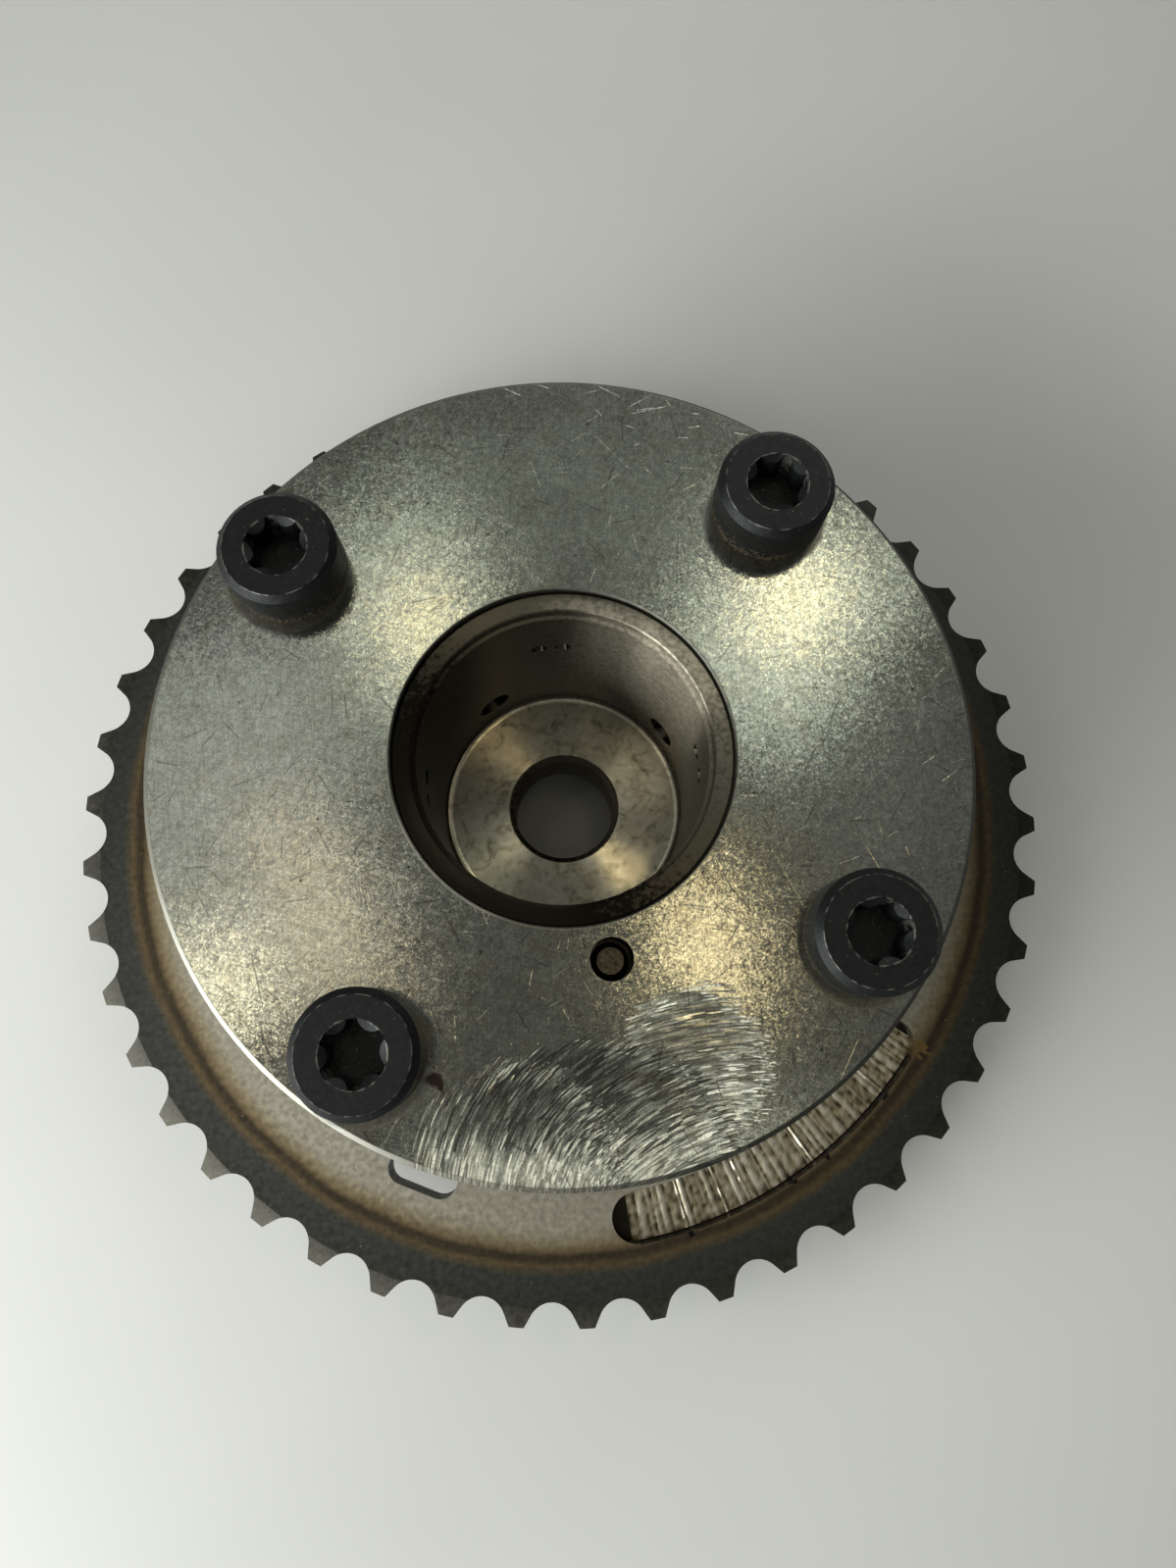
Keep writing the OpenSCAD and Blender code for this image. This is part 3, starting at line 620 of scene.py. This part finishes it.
def ground_cover_steel():
    """Ground steel: pale grey with a warm cast, glittering strokes, pits, scratches and old oil."""
    material, tree, shader = new_material("ground_cover_steel", 1.0, PASS_ROUGHNESS)
    place = add_node(tree, "TexCoord").outputs["Object"]
    tone = add_node(tree, "TexNoise", {"Vector": place, "Scale": 1 / TONE_SIZE, "Detail": 4.0})
    colour, dirt_and_edge_tone = cover_dirt_and_highlight(tree, place, ground_face(tree, place, tone))

    scored = None
    for spacing, length, width, share in SCRATCHES:
        line = lone_scratches(tree, place, spacing * MM, length * MM, width * MM, share)
        if scored is None:
            scored = line
        else:
            scored = add_node(tree, "Math", {0: scored, 1: line}, operation="MAXIMUM")
    grain = leaning_grain(tree, place, **STROKES)
    normal = add_node(
        tree, "Bump",
        {"Height": scored, "Normal": grain, "Distance": SCRATCH_DEPTH, "Strength": 1.0},
        invert=True,
    )
    rough = add_node(
        tree, "MapRange",
        {"Value": tone, "From Min": 0.3, "From Max": 0.7,
         "To Min": FACE_ROUGHNESS[0], "To Max": FACE_ROUGHNESS[1]},
    )
    brightness = 1.0
    for ground in PASSES:
        covered, shade, normal = grinder_pass(tree, place, normal, **ground)
        light = {MIX_FACTOR: covered, MIX_NUMBER_A: brightness, MIX_NUMBER_B: shade}
        brightness = add_node(tree, "Mix", light)
        gloss = {MIX_FACTOR: covered, MIX_NUMBER_A: rough, MIX_NUMBER_B: PASS_ROUGHNESS}
        rough = add_node(tree, "Mix", gloss)
    shaded = add_node(tree, "VectorMath", {0: colour, "Scale": brightness.outputs[0]}, operation="SCALE")
    duller = add_node(tree, "Math", {0: dirt_and_edge_tone, 1: DIRT_ROUGHNESS, 2: rough}, operation="MULTIPLY_ADD")
    tree.links.new(shaded.outputs["Vector"], shader.inputs["Base Color"])
    tree.links.new(normal.outputs["Vector"], shader.inputs["Normal"])
    tree.links.new(duller.outputs[0], shader.inputs["Roughness"])
    return material


dress("front_cover", ground_cover_steel())

# %% [markdown]
# ## Heat-tinted steel for the sprocket
# Only the teeth were hardened. Heat spread inwards from them and left rings of oxide: blue-black at the
# teeth, a dark brown line, then straw, then bare steel beside the cover. All of it depends on the
# distance from the axis, so one colour ramp over that distance draws the rings, and noise keeps them
# from looking printed. On one side a painted shade darkens them.

# %% Colour the heat rings
RING_FROM, RING_TO = 38.0, 62.0
HEAT_CENTRE = Vector((0.0, 0.6, 0.0)) * MM
HEAT_RINGS = (
    (40.0, "#a39f92"), (49.8, "#a5a192"), (51.2, "#93886f"), (52.2, "#73644a"),
    (52.8, "#40372a"), (53.3, "#42392c"), (53.9, "#5f5139"), (55.0, "#3f403c"),
    (57.4, "#3a3b37"), (58.2, "#3b3a34"), (60.0, "#49473f"),
)
WANDER_SIZE = 9 * MM
WANDER = 0.5 * MM
# The side of the sprocket that a painted shade darkens, towards +x.
SHADED_SIDE_WAY = Vector((0.97, 0.24, 0.0))


def heat_rings(tree, place, flat):
    """Oxide rings round the axis that wander a little, darkened on one side by a painted shade."""
    away = add_node(tree, "VectorMath", {0: flat, 1: HEAT_CENTRE}, operation="DISTANCE").outputs["Value"]
    wander = add_node(tree, "TexNoise", {"Vector": place, "Scale": 1 / WANDER_SIZE, "Detail": 4.0})
    shift = add_node(tree, "MapRange", {"Value": wander, "To Min": -WANDER, "To Max": WANDER})
    ring = add_node(tree, "Math", {0: away, 1: shift}, operation="ADD")
    bounds = {"From Min": RING_FROM * MM, "From Max": RING_TO * MM}
    tint = add_node(tree, "ValToRGB", {"Fac": add_node(tree, "MapRange", {"Value": ring, **bounds})})
    set_stops(tint, [((r - RING_FROM) / (RING_TO - RING_FROM), colour) for r, colour in HEAT_RINGS])
    # Painted shade: the rings are darkened on the side that faces +x.
    outwards = add_node(tree, "VectorMath", {0: flat}, operation="NORMALIZE")
    facing = add_node(tree, "VectorMath", {0: outwards, 1: SHADED_SIDE_WAY}, operation="DOT_PRODUCT")
    painted_shade = add_node(
        tree, "MapRange",
        {"Value": facing.outputs["Value"], "From Min": 0.4, "From Max": 0.95, "To Max": 0.5},
    )
    shaded_tint = add_node(
        tree, "Mix",
        {MIX_FACTOR: painted_shade, MIX_A: tint.outputs["Color"], MIX_B: linear("#17160f")},
        data_type="RGBA",
    )
    return shaded_tint.outputs[MIX_RESULT]


print("heat rings ready:", len(HEAT_RINGS), "tones")

# %% [markdown]
# The groove in the face is darkened by painted shade, its outer edge is nicked, and its end has a rusty
# burr.
# The nicks and the burr belong to the front, so they stop short of the rear face. Grains of dust lie all
# over.

# %% Mark the sprocket
GROOVE_BAND = (45.7 * MM, 51.9 * MM)
GROOVE_SKIN = 0.05 * MM
REAR_SKIN = 0.1 * MM
DUST_SPACING = 2.2 * MM
# Places by radius in mm and angle in degrees, the range of noise that frays a mark, its size and colour.
MARKS = (
    (((51.8, -73.5), (51.8, -58.5), (51.8, -53.0), (51.8, -42.0)), (0.35, 0.65), 0.7 * MM, "#0f0d0a"),
    (((52.0, -34.0),), (0.3, 0.7), 2.0 * MM, "#6f5a36"),
)


def on_circle(radius, turn):
    """A point at a radius in mm and an angle in degrees."""
    return Vector((radius * math.cos(math.radians(turn)), radius * math.sin(math.radians(turn)), 0)) * MM


def sprocket_marks(tree, place, flat, mottle, clean):
    """Painted shade in the groove, nicks, a burr and dust, over a clean colour."""
    axis_away = add_node(tree, "VectorMath", {0: flat}, operation="LENGTH").outputs["Value"]
    height = add_node(tree, "SeparateXYZ", {0: place}).outputs["Z"]
    within = add_node(
        tree, "Math",
        {0: height, 1: (rim_low + face_z) / 2, 2: (face_z - rim_low) / 2 - GROOVE_SKIN},
        operation="COMPARE",
    )
    band = add_node(
        tree, "Math",
        {0: axis_away, 1: sum(GROOVE_BAND) / 2, 2: (GROOVE_BAND[1] - GROOVE_BAND[0]) / 2},
        operation="COMPARE",
    )
    # Painted shade on the walls and floor of the groove.
    groove_shade = add_node(tree, "Math", {0: within, 1: band}, operation="MULTIPLY")
    layers = [(groove_shade, "#2d2820")]
    front = add_node(tree, "Math", {0: height, 1: rim_low + REAR_SKIN}, operation="GREATER_THAN")
    for spots, (low, high), size, tone in MARKS:
        frayed = {"Value": mottle, "From Min": low, "From Max": high, "To Max": size}
        rag = add_node(tree, "MapRange", frayed)
        away = nearest_spot(tree, place, [on_circle(*spot) for spot in spots])
        mark = add_node(tree, "Math", {0: away, 1: rag}, operation="LESS_THAN")
        layers.append((add_node(tree, "Math", {0: mark, 1: front}, operation="MULTIPLY"), tone))
    dust_cells = add_node(tree, "TexVoronoi", {"Vector": place, "Scale": 1 / DUST_SPACING})
    dust = add_node(tree, "Math", {0: dust_cells.outputs["Distance"], 1: 0.05}, operation="LESS_THAN")
    layers.append((dust, "#6a6353"))
    colour = clean
    for share, tone in layers:
        layer = {MIX_FACTOR: share, MIX_A: colour, MIX_B: linear(tone)}
        colour = add_node(tree, "Mix", layer, data_type="RGBA").outputs[MIX_RESULT]
    return colour


print("marks ready:", len(MARKS[0][0]), "nicks and a burr")

# %% [markdown]
# Last, the rings and the marks are put on one satin shader. A fine mottle changes both the shade and the
# roughness, as a thin skin of oxide does.

# %% Make the sprocket's steel
MOTTLE_SIZE = 0.7 * MM
SATIN_GRAIN = {"length": 0.5 * MM, "width": 0.25 * MM, "turns": (0.4, 1.7), "lean": 0.04}


def heat_tinted_steel():
    """Induction-hardened steel: oxide rings from straw to blue-black, satin, with painted shade on one side
    and in the groove.
    """
    material, tree, shader = new_material("heat_tinted_steel", 0.8, 0.45)
    place = add_node(tree, "TexCoord").outputs["Object"]
    flat = add_node(tree, "VectorMath", {0: place, 1: (1, 1, 0)}, operation="MULTIPLY")
    mottle = add_node(tree, "TexNoise", {"Vector": place, "Scale": 1 / MOTTLE_SIZE, "Detail": 5.0})
    shade = add_node(
        tree, "MapRange",
        {"Value": mottle, "From Min": 0.3, "From Max": 0.7, "To Min": 0.8, "To Max": 1.15},
    )
    mottled = add_node(
        tree, "VectorMath",
        {0: heat_rings(tree, place, flat), "Scale": shade.outputs[0]},
        operation="SCALE",
    )
    colour = sprocket_marks(tree, place, flat, mottle, mottled.outputs["Vector"])
    rough = add_node(
        tree, "MapRange",
        {"Value": mottle, "From Min": 0.3, "From Max": 0.7, "To Min": 0.38, "To Max": 0.52},
    )
    grain = leaning_grain(tree, place, **SATIN_GRAIN)
    tree.links.new(colour, shader.inputs["Base Color"])
    tree.links.new(rough.outputs[0], shader.inputs["Roughness"])
    tree.links.new(grain.outputs["Vector"], shader.inputs["Normal"])
    return material


dress("sprocket", heat_tinted_steel())

# %% [markdown]
# ## Black oxide for the screws
# Black oxide is a thin brown-black skin on steel. It stays dark and satin, and wears through first on
# edges, where a driver or a fingernail touches it. The distance from the nearest screw axis tells where
# those edges are. Oily grit has gathered at the foot of each head.

# %% Make the screws' black oxide
HEAD_FACE_R = 5.05 * MM
HEAD_FACE_WEAR = 0.05 * MM
SOCKET_R = 3.0 * MM
SOCKET_WEAR = 0.08 * MM
OXIDE_MOTTLE = 0.9 * MM
OXIDE_GRAIN = {"length": 0.35 * MM, "width": 0.2 * MM, "turns": (0.2, 1.4), "lean": 0.05}
GRIT_RISE = 2.6 * MM
GRIT_SIZE = 0.3 * MM


def black_oxide_steel():
    """Black oxide: near black and satin, brown where oil has dried, bright only along worn edges."""
    material, tree, shader = new_material("black_oxide_steel", 0.6, 0.5)
    place = add_node(tree, "TexCoord").outputs["Object"]
    away = nearest_spot(tree, place, screws)
    mottle = add_node(tree, "TexNoise", {"Vector": place, "Scale": 1 / OXIDE_MOTTLE, "Detail": 5.0})
    skin = add_node(tree, "ValToRGB", {"Fac": mottle})
    set_stops(skin, [(0.3, "#191b1b"), (0.7, "#212424")])
    worn = None
    for edge_r, band in ((HEAD_FACE_R, HEAD_FACE_WEAR), (SOCKET_R, SOCKET_WEAR)):
        off = add_node(tree, "Math", {0: away, 1: edge_r, 2: band}, operation="COMPARE")
        worn = off if worn is None else add_node(tree, "Math", {0: worn, 1: off}, operation="MAXIMUM")
    patchy = add_node(tree, "MapRange", {"Value": mottle, "From Min": 0.45, "From Max": 0.6})
    wear = add_node(tree, "Math", {0: worn, 1: patchy}, operation="MULTIPLY")
    height = add_node(tree, "SeparateXYZ", {0: place}).outputs["Z"]
    foot = add_node(
        tree, "MapRange",
        {"Value": height, "From Min": cover_top + GRIT_RISE, "From Max": cover_top, "To Max": 0.24},
    )
    crumbs = add_node(tree, "TexNoise", {"Vector": place, "Scale": 1 / GRIT_SIZE, "Detail": 3.0})
    heap = add_node(tree, "Math", {0: crumbs, 1: foot}, operation="ADD")
    grit = add_node(tree, "MapRange", {"Value": heap, "From Min": 0.68, "From Max": 0.76, "To Max": 0.8})
    colour = skin.outputs["Color"]
    for share, tone in ((wear, "#6e6c66"), (grit, "#6b604b")):
        layer = {MIX_FACTOR: share, MIX_A: colour, MIX_B: linear(tone)}
        colour = add_node(tree, "Mix", layer, data_type="RGBA").outputs[MIX_RESULT]
    tree.links.new(colour, shader.inputs["Base Color"])
    grain = leaning_grain(tree, place, **OXIDE_GRAIN)
    tree.links.new(grain.outputs["Vector"], shader.inputs["Normal"])
    return material


dress("cover_screws", black_oxide_steel())

# %% [markdown]
# ## Turned and sintered steel for the rotor
# The rotor was pressed from powder, so its plain faces are dark and slightly porous. Its pocket was
# turned afterwards. A turned floor shows bright rays from the middle, because its grooves run round the
# axis. An anisotropic shader with a tangent round Z, turned by a quarter so that light spreads across
# the grooves, does that without drawing a single groove. Off the floor, the faces get darker in patches
# towards one side.

# %% Make the rotor's steel
FLOOR_Z = 17.35 * MM
FLOOR_SKIN = 0.2 * MM
PORE_SIZE = 0.5 * MM
PORE_DEPTH = 0.012 * MM
FLOW_SIZE = 1.8 * MM
DARKER_SIDE_WAY = Vector((-0.71, -0.71, 0.0))
DARKER_SIDE_SPAN = 15 * MM


def sintered_turned_steel():
    """Sintered steel, dark brown and porous, with a turned pocket that is bare and bright."""
    material, tree, shader = new_material("sintered_turned_steel", 1.0, 0.22)
    place = add_node(tree, "TexCoord").outputs["Object"]
    height = add_node(tree, "SeparateXYZ", {0: place}).outputs["Z"]
    pores = add_node(tree, "TexNoise", {"Vector": place, "Scale": 1 / PORE_SIZE, "Detail": 5.0})
    sinter = add_node(tree, "ValToRGB", {"Fac": pores})
    set_stops(sinter, [(0.35, "#726d60"), (0.65, "#a49e8c")])
    flow = add_node(
        tree, "TexNoise",
        {"Vector": place, "Scale": 1 / FLOW_SIZE, "Detail": 6.0, "Roughness": 0.65, "Distortion": 1.2},
    )
    bare = add_node(tree, "ValToRGB", {"Fac": flow})
    set_stops(bare, [(0.3, "#8a836c"), (0.48, "#c4bda6"), (0.7, "#d9d3c1")])
    # Darker in patches towards one side, towards -x and -y.
    towards = add_node(tree, "VectorMath", {0: place, 1: DARKER_SIDE_WAY}, operation="DOT_PRODUCT").outputs["Value"]
    toward_darker_side = add_node(tree, "MapRange", {"Value": towards, "From Min": -DARKER_SIDE_SPAN, "From Max": DARKER_SIDE_SPAN})
    patchy = add_node(tree, "Math", {0: pores, 1: 0.9, 2: toward_darker_side}, operation="MULTIPLY_ADD")
    darkening = add_node(tree, "MapRange", {"Value": patchy, "From Min": 0.6, "From Max": 1.15})
    on_floor = add_node(tree, "Math", {0: height, 1: FLOOR_Z, 2: FLOOR_SKIN}, operation="COMPARE")
    colour = sinter.outputs["Color"]
    for share, tint in ((darkening, linear("#25221b")), (on_floor, bare.outputs["Color"])):
        layer = {MIX_FACTOR: share, MIX_A: colour, MIX_B: tint}
        colour = add_node(tree, "Mix", layer, data_type="RGBA").outputs[MIX_RESULT]
    tree.links.new(colour, shader.inputs["Base Color"])
    rough = add_node(tree, "MapRange", {"Value": on_floor, "To Min": 0.36, "To Max": 0.21})
    tree.links.new(rough.outputs[0], shader.inputs["Roughness"])
    shader.inputs["Anisotropic"].default_value = 1.0
    shader.inputs["Anisotropic Rotation"].default_value = 0.25
    tangent = add_node(tree, "Tangent", direction_type="RADIAL", axis="Z")
    tree.links.new(tangent.outputs[0], shader.inputs["Tangent"])
    off_floor = add_node(tree, "Math", {0: 1.0, 1: on_floor}, operation="SUBTRACT")
    bump = add_node(tree, "Bump", {"Height": pores, "Distance": PORE_DEPTH, "Strength": off_floor})
    tree.links.new(bump.outputs["Normal"], shader.inputs["Normal"])
    return material


dress("rotor", sintered_turned_steel())

# %% [markdown]
# ## The pieces inside
# The stator, pins, springs and seals are mostly hidden, but they show when the part is turned over or
# opened. Each gets a plain version of its real finish.

# %% Make the inner finishes
WORKED_RELIEF = 0.015 * MM
FIBRES = {"spacing": 0.9 * MM, "length": 1.2 * MM, "width": 0.05 * MM, "share": 0.7}


def worked_steel(name, dark, light, roughness, grain_size):
    """Machined steel with a fine mottle of two tones."""
    material, tree, shader = new_material(name, 1.0, roughness)
    place = add_node(tree, "TexCoord").outputs["Object"]
    mottle = add_node(tree, "TexNoise", {"Vector": place, "Scale": 1 / grain_size, "Detail": 5.0})
    tone = add_node(tree, "ValToRGB", {"Fac": mottle})
    set_stops(tone, [(0.3, dark), (0.7, light)])
    bump = add_node(tree, "Bump", {"Height": mottle, "Distance": WORKED_RELIEF, "Strength": 0.5})
    tree.links.new(tone.outputs["Color"], shader.inputs["Base Color"])
    tree.links.new(bump.outputs["Normal"], shader.inputs["Normal"])
    return material


def filled_plastic():
    """Glass-filled plastic of the seal strips: dark brown, dull, with short pale fibres."""
    material, tree, shader = new_material("filled_plastic", 0.0, 0.55)
    place = add_node(tree, "TexCoord").outputs["Object"]
    fibre = lone_scratches(tree, place, **FIBRES)
    colour = add_node(
        tree, "Mix",
        {MIX_FACTOR: fibre, MIX_A: linear("#2b2621"), MIX_B: linear("#5a5247")},
        data_type="RGBA",
    )
    tree.links.new(colour.outputs[MIX_RESULT], shader.inputs["Base Color"])
    return material


stator_steel = worked_steel("sintered_stator_steel", "#6b675f", "#8d8981", 0.4, 0.6 * MM)
pin_steel = worked_steel("hardened_pin_steel", "#3d3930", "#6c6557", 0.36, 0.4 * MM)
spring_steel = worked_steel("drawn_spring_steel", "#9a978f", "#bcb9b1", 0.25, 0.4 * MM)
seal_plastic = filled_plastic()
dress("stator", stator_steel)
for name in nodes:
    if "spring" in name:
        dress(name, spring_steel)
    elif "seal" in name:
        dress(name, seal_plastic)
    elif "dowel" in name or name == "lock_pin":
        dress(name, pin_steel)

# %% [markdown]
# ## The lock pin's spring
# A coil spring pushes the lock pin out of the rotor. When the pin slides back, the spring gets shorter,
# which a rigid solid can't show. Here it is modelled again as a coil: a ring as thick as the wire is
# carried round and up by a Screw modifier, and its ends are closed.

# %% Wind the spring
WIRE_D = 0.6 * MM
WIRE_SIDES = 10
COIL_TURNS = 8
COIL_STEPS = 24
COIL_SMOOTH = math.radians(50)


def lock_pin_coil(low, high):
    """A coil of wire that fills the box of the spring's solid."""
    bpy.ops.object.select_all(action="DESELECT")
    bpy.ops.mesh.primitive_circle_add(vertices=WIRE_SIDES, radius=WIRE_D / 2)
    coil = bpy.context.object
    coil.name = "lock_pin_coil"
    coil.rotation_euler = (math.pi / 2, 0, 0)
    coil.location = ((high.x - low.x - WIRE_D) / 2, 0, 0)
    bpy.ops.object.transform_apply(location=True, rotation=True, scale=True)
    bpy.ops.object.modifier_add(type="SCREW")
    winding = coil.modifiers[-1]
    winding.iterations = COIL_TURNS
    winding.screw_offset = (high.z - low.z - WIRE_D) / COIL_TURNS
    winding.steps = COIL_STEPS
    winding.render_steps = COIL_STEPS
    bpy.ops.object.modifier_apply(modifier=winding.name)
    coil.location = ((low.x + high.x) / 2, (low.y + high.y) / 2, low.z + WIRE_D / 2)
    bpy.ops.object.transform_apply(location=True, rotation=True, scale=True)
    bpy.ops.object.mode_set(mode="EDIT")
    bpy.ops.mesh.select_all(action="SELECT")
    bpy.ops.mesh.fill_holes(sides=0)
    bpy.ops.mesh.select_all(action="SELECT")
    bpy.ops.mesh.normals_make_consistent(inside=False)
    bpy.ops.object.mode_set(mode="OBJECT")
    bpy.ops.object.shade_smooth_by_angle(angle=COIL_SMOOTH)
    return coil


spring_low, spring_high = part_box("lock_pin_spring")
coil = lock_pin_coil(spring_low, spring_high)
coil.data.materials.append(spring_steel)
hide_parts("lock_pin_spring")
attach(coil, "rotor")
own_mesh(coil)
print("lock_pin_coil:", len(coil.data.polygons), "faces")

# %% [markdown]
# ## Chatter in the milled groove
# A curved groove was milled into the sprocket's face, and the cutter chattered: its floor is a row of
# small cross ridges. They catch the light one by one, so they are real shapes here. A thin upright
# rectangle is spun about the axis through the groove's angle, which makes a thin curved bar.

# %% Spin a bar along the groove
GROOVE_R = 48.8 * MM
GROOVE_FLOOR_Z = 11.8 * MM
CHATTER_W = 5.7 * MM
CHATTER_SUNK = 0.05 * MM
CHATTER_FROM = math.radians(-81)
CHATTER_TURN = math.radians(48)
RINGS = 160
ACROSS = 14
WELD = 0.001 * MM


def spun_bar():
    """A thin flat bar on the groove's floor, in rings across its length."""
    bpy.ops.object.select_all(action="DESELECT")
    bpy.ops.mesh.primitive_grid_add(x_subdivisions=ACROSS, y_subdivisions=1, size=1)
    bar = bpy.context.object
    bar.name = "groove_chatter"
    bpy.ops.object.mode_set(mode="EDIT")
    bpy.ops.transform.resize(value=(CHATTER_W, 2 * CHATTER_SUNK, 1))
    bpy.ops.object.mode_set(mode="OBJECT")
    bar.rotation_euler = (math.pi / 2, 0, CHATTER_FROM)
    bar.location = (GROOVE_R * math.cos(CHATTER_FROM), GROOVE_R * math.sin(CHATTER_FROM), GROOVE_FLOOR_Z)
    bpy.ops.object.transform_apply(location=True, rotation=True, scale=True)
    bpy.ops.object.mode_set(mode="EDIT")
    bpy.ops.mesh.select_all(action="SELECT")
    bpy.ops.mesh.spin(steps=RINGS, angle=-CHATTER_TURN, center=(0, 0, 0), axis=(0, 0, 1))
    bpy.ops.mesh.select_all(action="SELECT")
    bpy.ops.mesh.remove_doubles(threshold=WELD)
    bpy.ops.mesh.fill_holes(sides=0)
    bpy.ops.mesh.select_all(action="SELECT")
    bpy.ops.mesh.normals_make_consistent(inside=False)
    bpy.ops.object.mode_set(mode="OBJECT")
    return bar


chatter = spun_bar()
print(chatter.name, "is", CHATTER_W / MM, "mm wide, in", RINGS, "steps")

# %% [markdown]
# The rings of the bar's upper edge are lifted to crests and troughs. Each ridge takes a few rings, and its
# width and height are drawn at random. A displacement by clouds then chips the crests.

# %% Lift the crests and chip them
CHATTER_SEED = 12
RIDGE_RINGS = (2, 3, 3, 4, 5)
CREST_MM = (0.03, 0.13)
CHIP_SIZE = 0.6 * MM
CHIP_DEPTH = 0.22 * MM
CHATTER_SMOOTH = math.radians(40)


def select_where(mesh, test):
    """Selects the points of an edited mesh whose place passes a test."""
    bpy.ops.mesh.select_all(action="DESELECT")
    bpy.ops.object.mode_set(mode="OBJECT")
    for point in mesh.vertices:
        point.select = test(point.co)
    bpy.ops.object.mode_set(mode="EDIT")


def lift_crests(bar):
    """Lifts the upper points of the bar, ring by ring, to ridges of random width and height."""
    chance = random.Random(CHATTER_SEED)
    bpy.ops.object.mode_set(mode="EDIT")
    half_step = CHATTER_TURN / RINGS / 2
    start = width = 0
    for ring in range(RINGS + 1):
        if ring == start + width:
            start = ring
            width = chance.choice(RIDGE_RINGS)
            crest = chance.uniform(*CREST_MM) * MM
        lift = crest * math.sin(math.pi * (ring - start) / width)
        angle = CHATTER_FROM + CHATTER_TURN * ring / RINGS
        select_where(
            bar.data,
            lambda p: p.z > GROOVE_FLOOR_Z and abs(math.atan2(p.y, p.x) - angle) < half_step,
        )
        bpy.ops.transform.translate(value=(0, 0, lift))
    bpy.ops.object.mode_set(mode="OBJECT")


def chip_crests(bar):
    """Makes the ridges uneven and shades the bar smooth."""
    bpy.ops.object.modifier_add(type="DISPLACE")
    chips = bar.modifiers[-1]
    chips.texture = bpy.data.textures.new("chips", "CLOUDS")
    chips.texture.noise_scale = CHIP_SIZE
    chips.texture_coords = "LOCAL"
    chips.direction = "Z"
    chips.strength = CHIP_DEPTH
    bpy.ops.object.modifier_apply(modifier=chips.name)
    bpy.ops.object.shade_smooth_by_angle(angle=CHATTER_SMOOTH)


lift_crests(chatter)
chip_crests(chatter)
heights = [round(p.co.z / MM, 2) for p in chatter.data.vertices]
print(chatter.name, "lies from", min(heights), "to", max(heights), "mm")

# %% [markdown]
# Its colour follows the height above the groove's floor: a painted highlight on the crests and painted
# shade in the troughs.

# %% Make the milled steel
CREST_LIGHT_RISE = 0.2 * MM


def milled_steel():
    """Milled steel: lighter on the crests as a painted highlight, darker in the troughs as painted shade.
    """
    material, tree, shader = new_material("milled_steel", 1.0, 0.45)
    place = add_node(tree, "TexCoord").outputs["Object"]
    height = add_node(tree, "SeparateXYZ", {0: place}).outputs["Z"]
    # Painted light: lighter up the crests, darker down in the troughs.
    painted_light_rise = add_node(
        tree, "MapRange",
        {"Value": height, "From Min": GROOVE_FLOOR_Z, "From Max": GROOVE_FLOOR_Z + CREST_LIGHT_RISE},
    )
    tone = add_node(tree, "ValToRGB", {"Fac": painted_light_rise})
    set_stops(tone, [(0.1, "#4a4334"), (0.4, "#a49a80"), (0.8, "#d8d2c0")])
    tree.links.new(tone.outputs["Color"], shader.inputs["Base Color"])
    return material


chatter.data.materials.append(milled_steel())
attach(chatter, "housing")
print(chatter.name, "is dressed in milled_steel,", len(chatter.data.polygons), "faces")
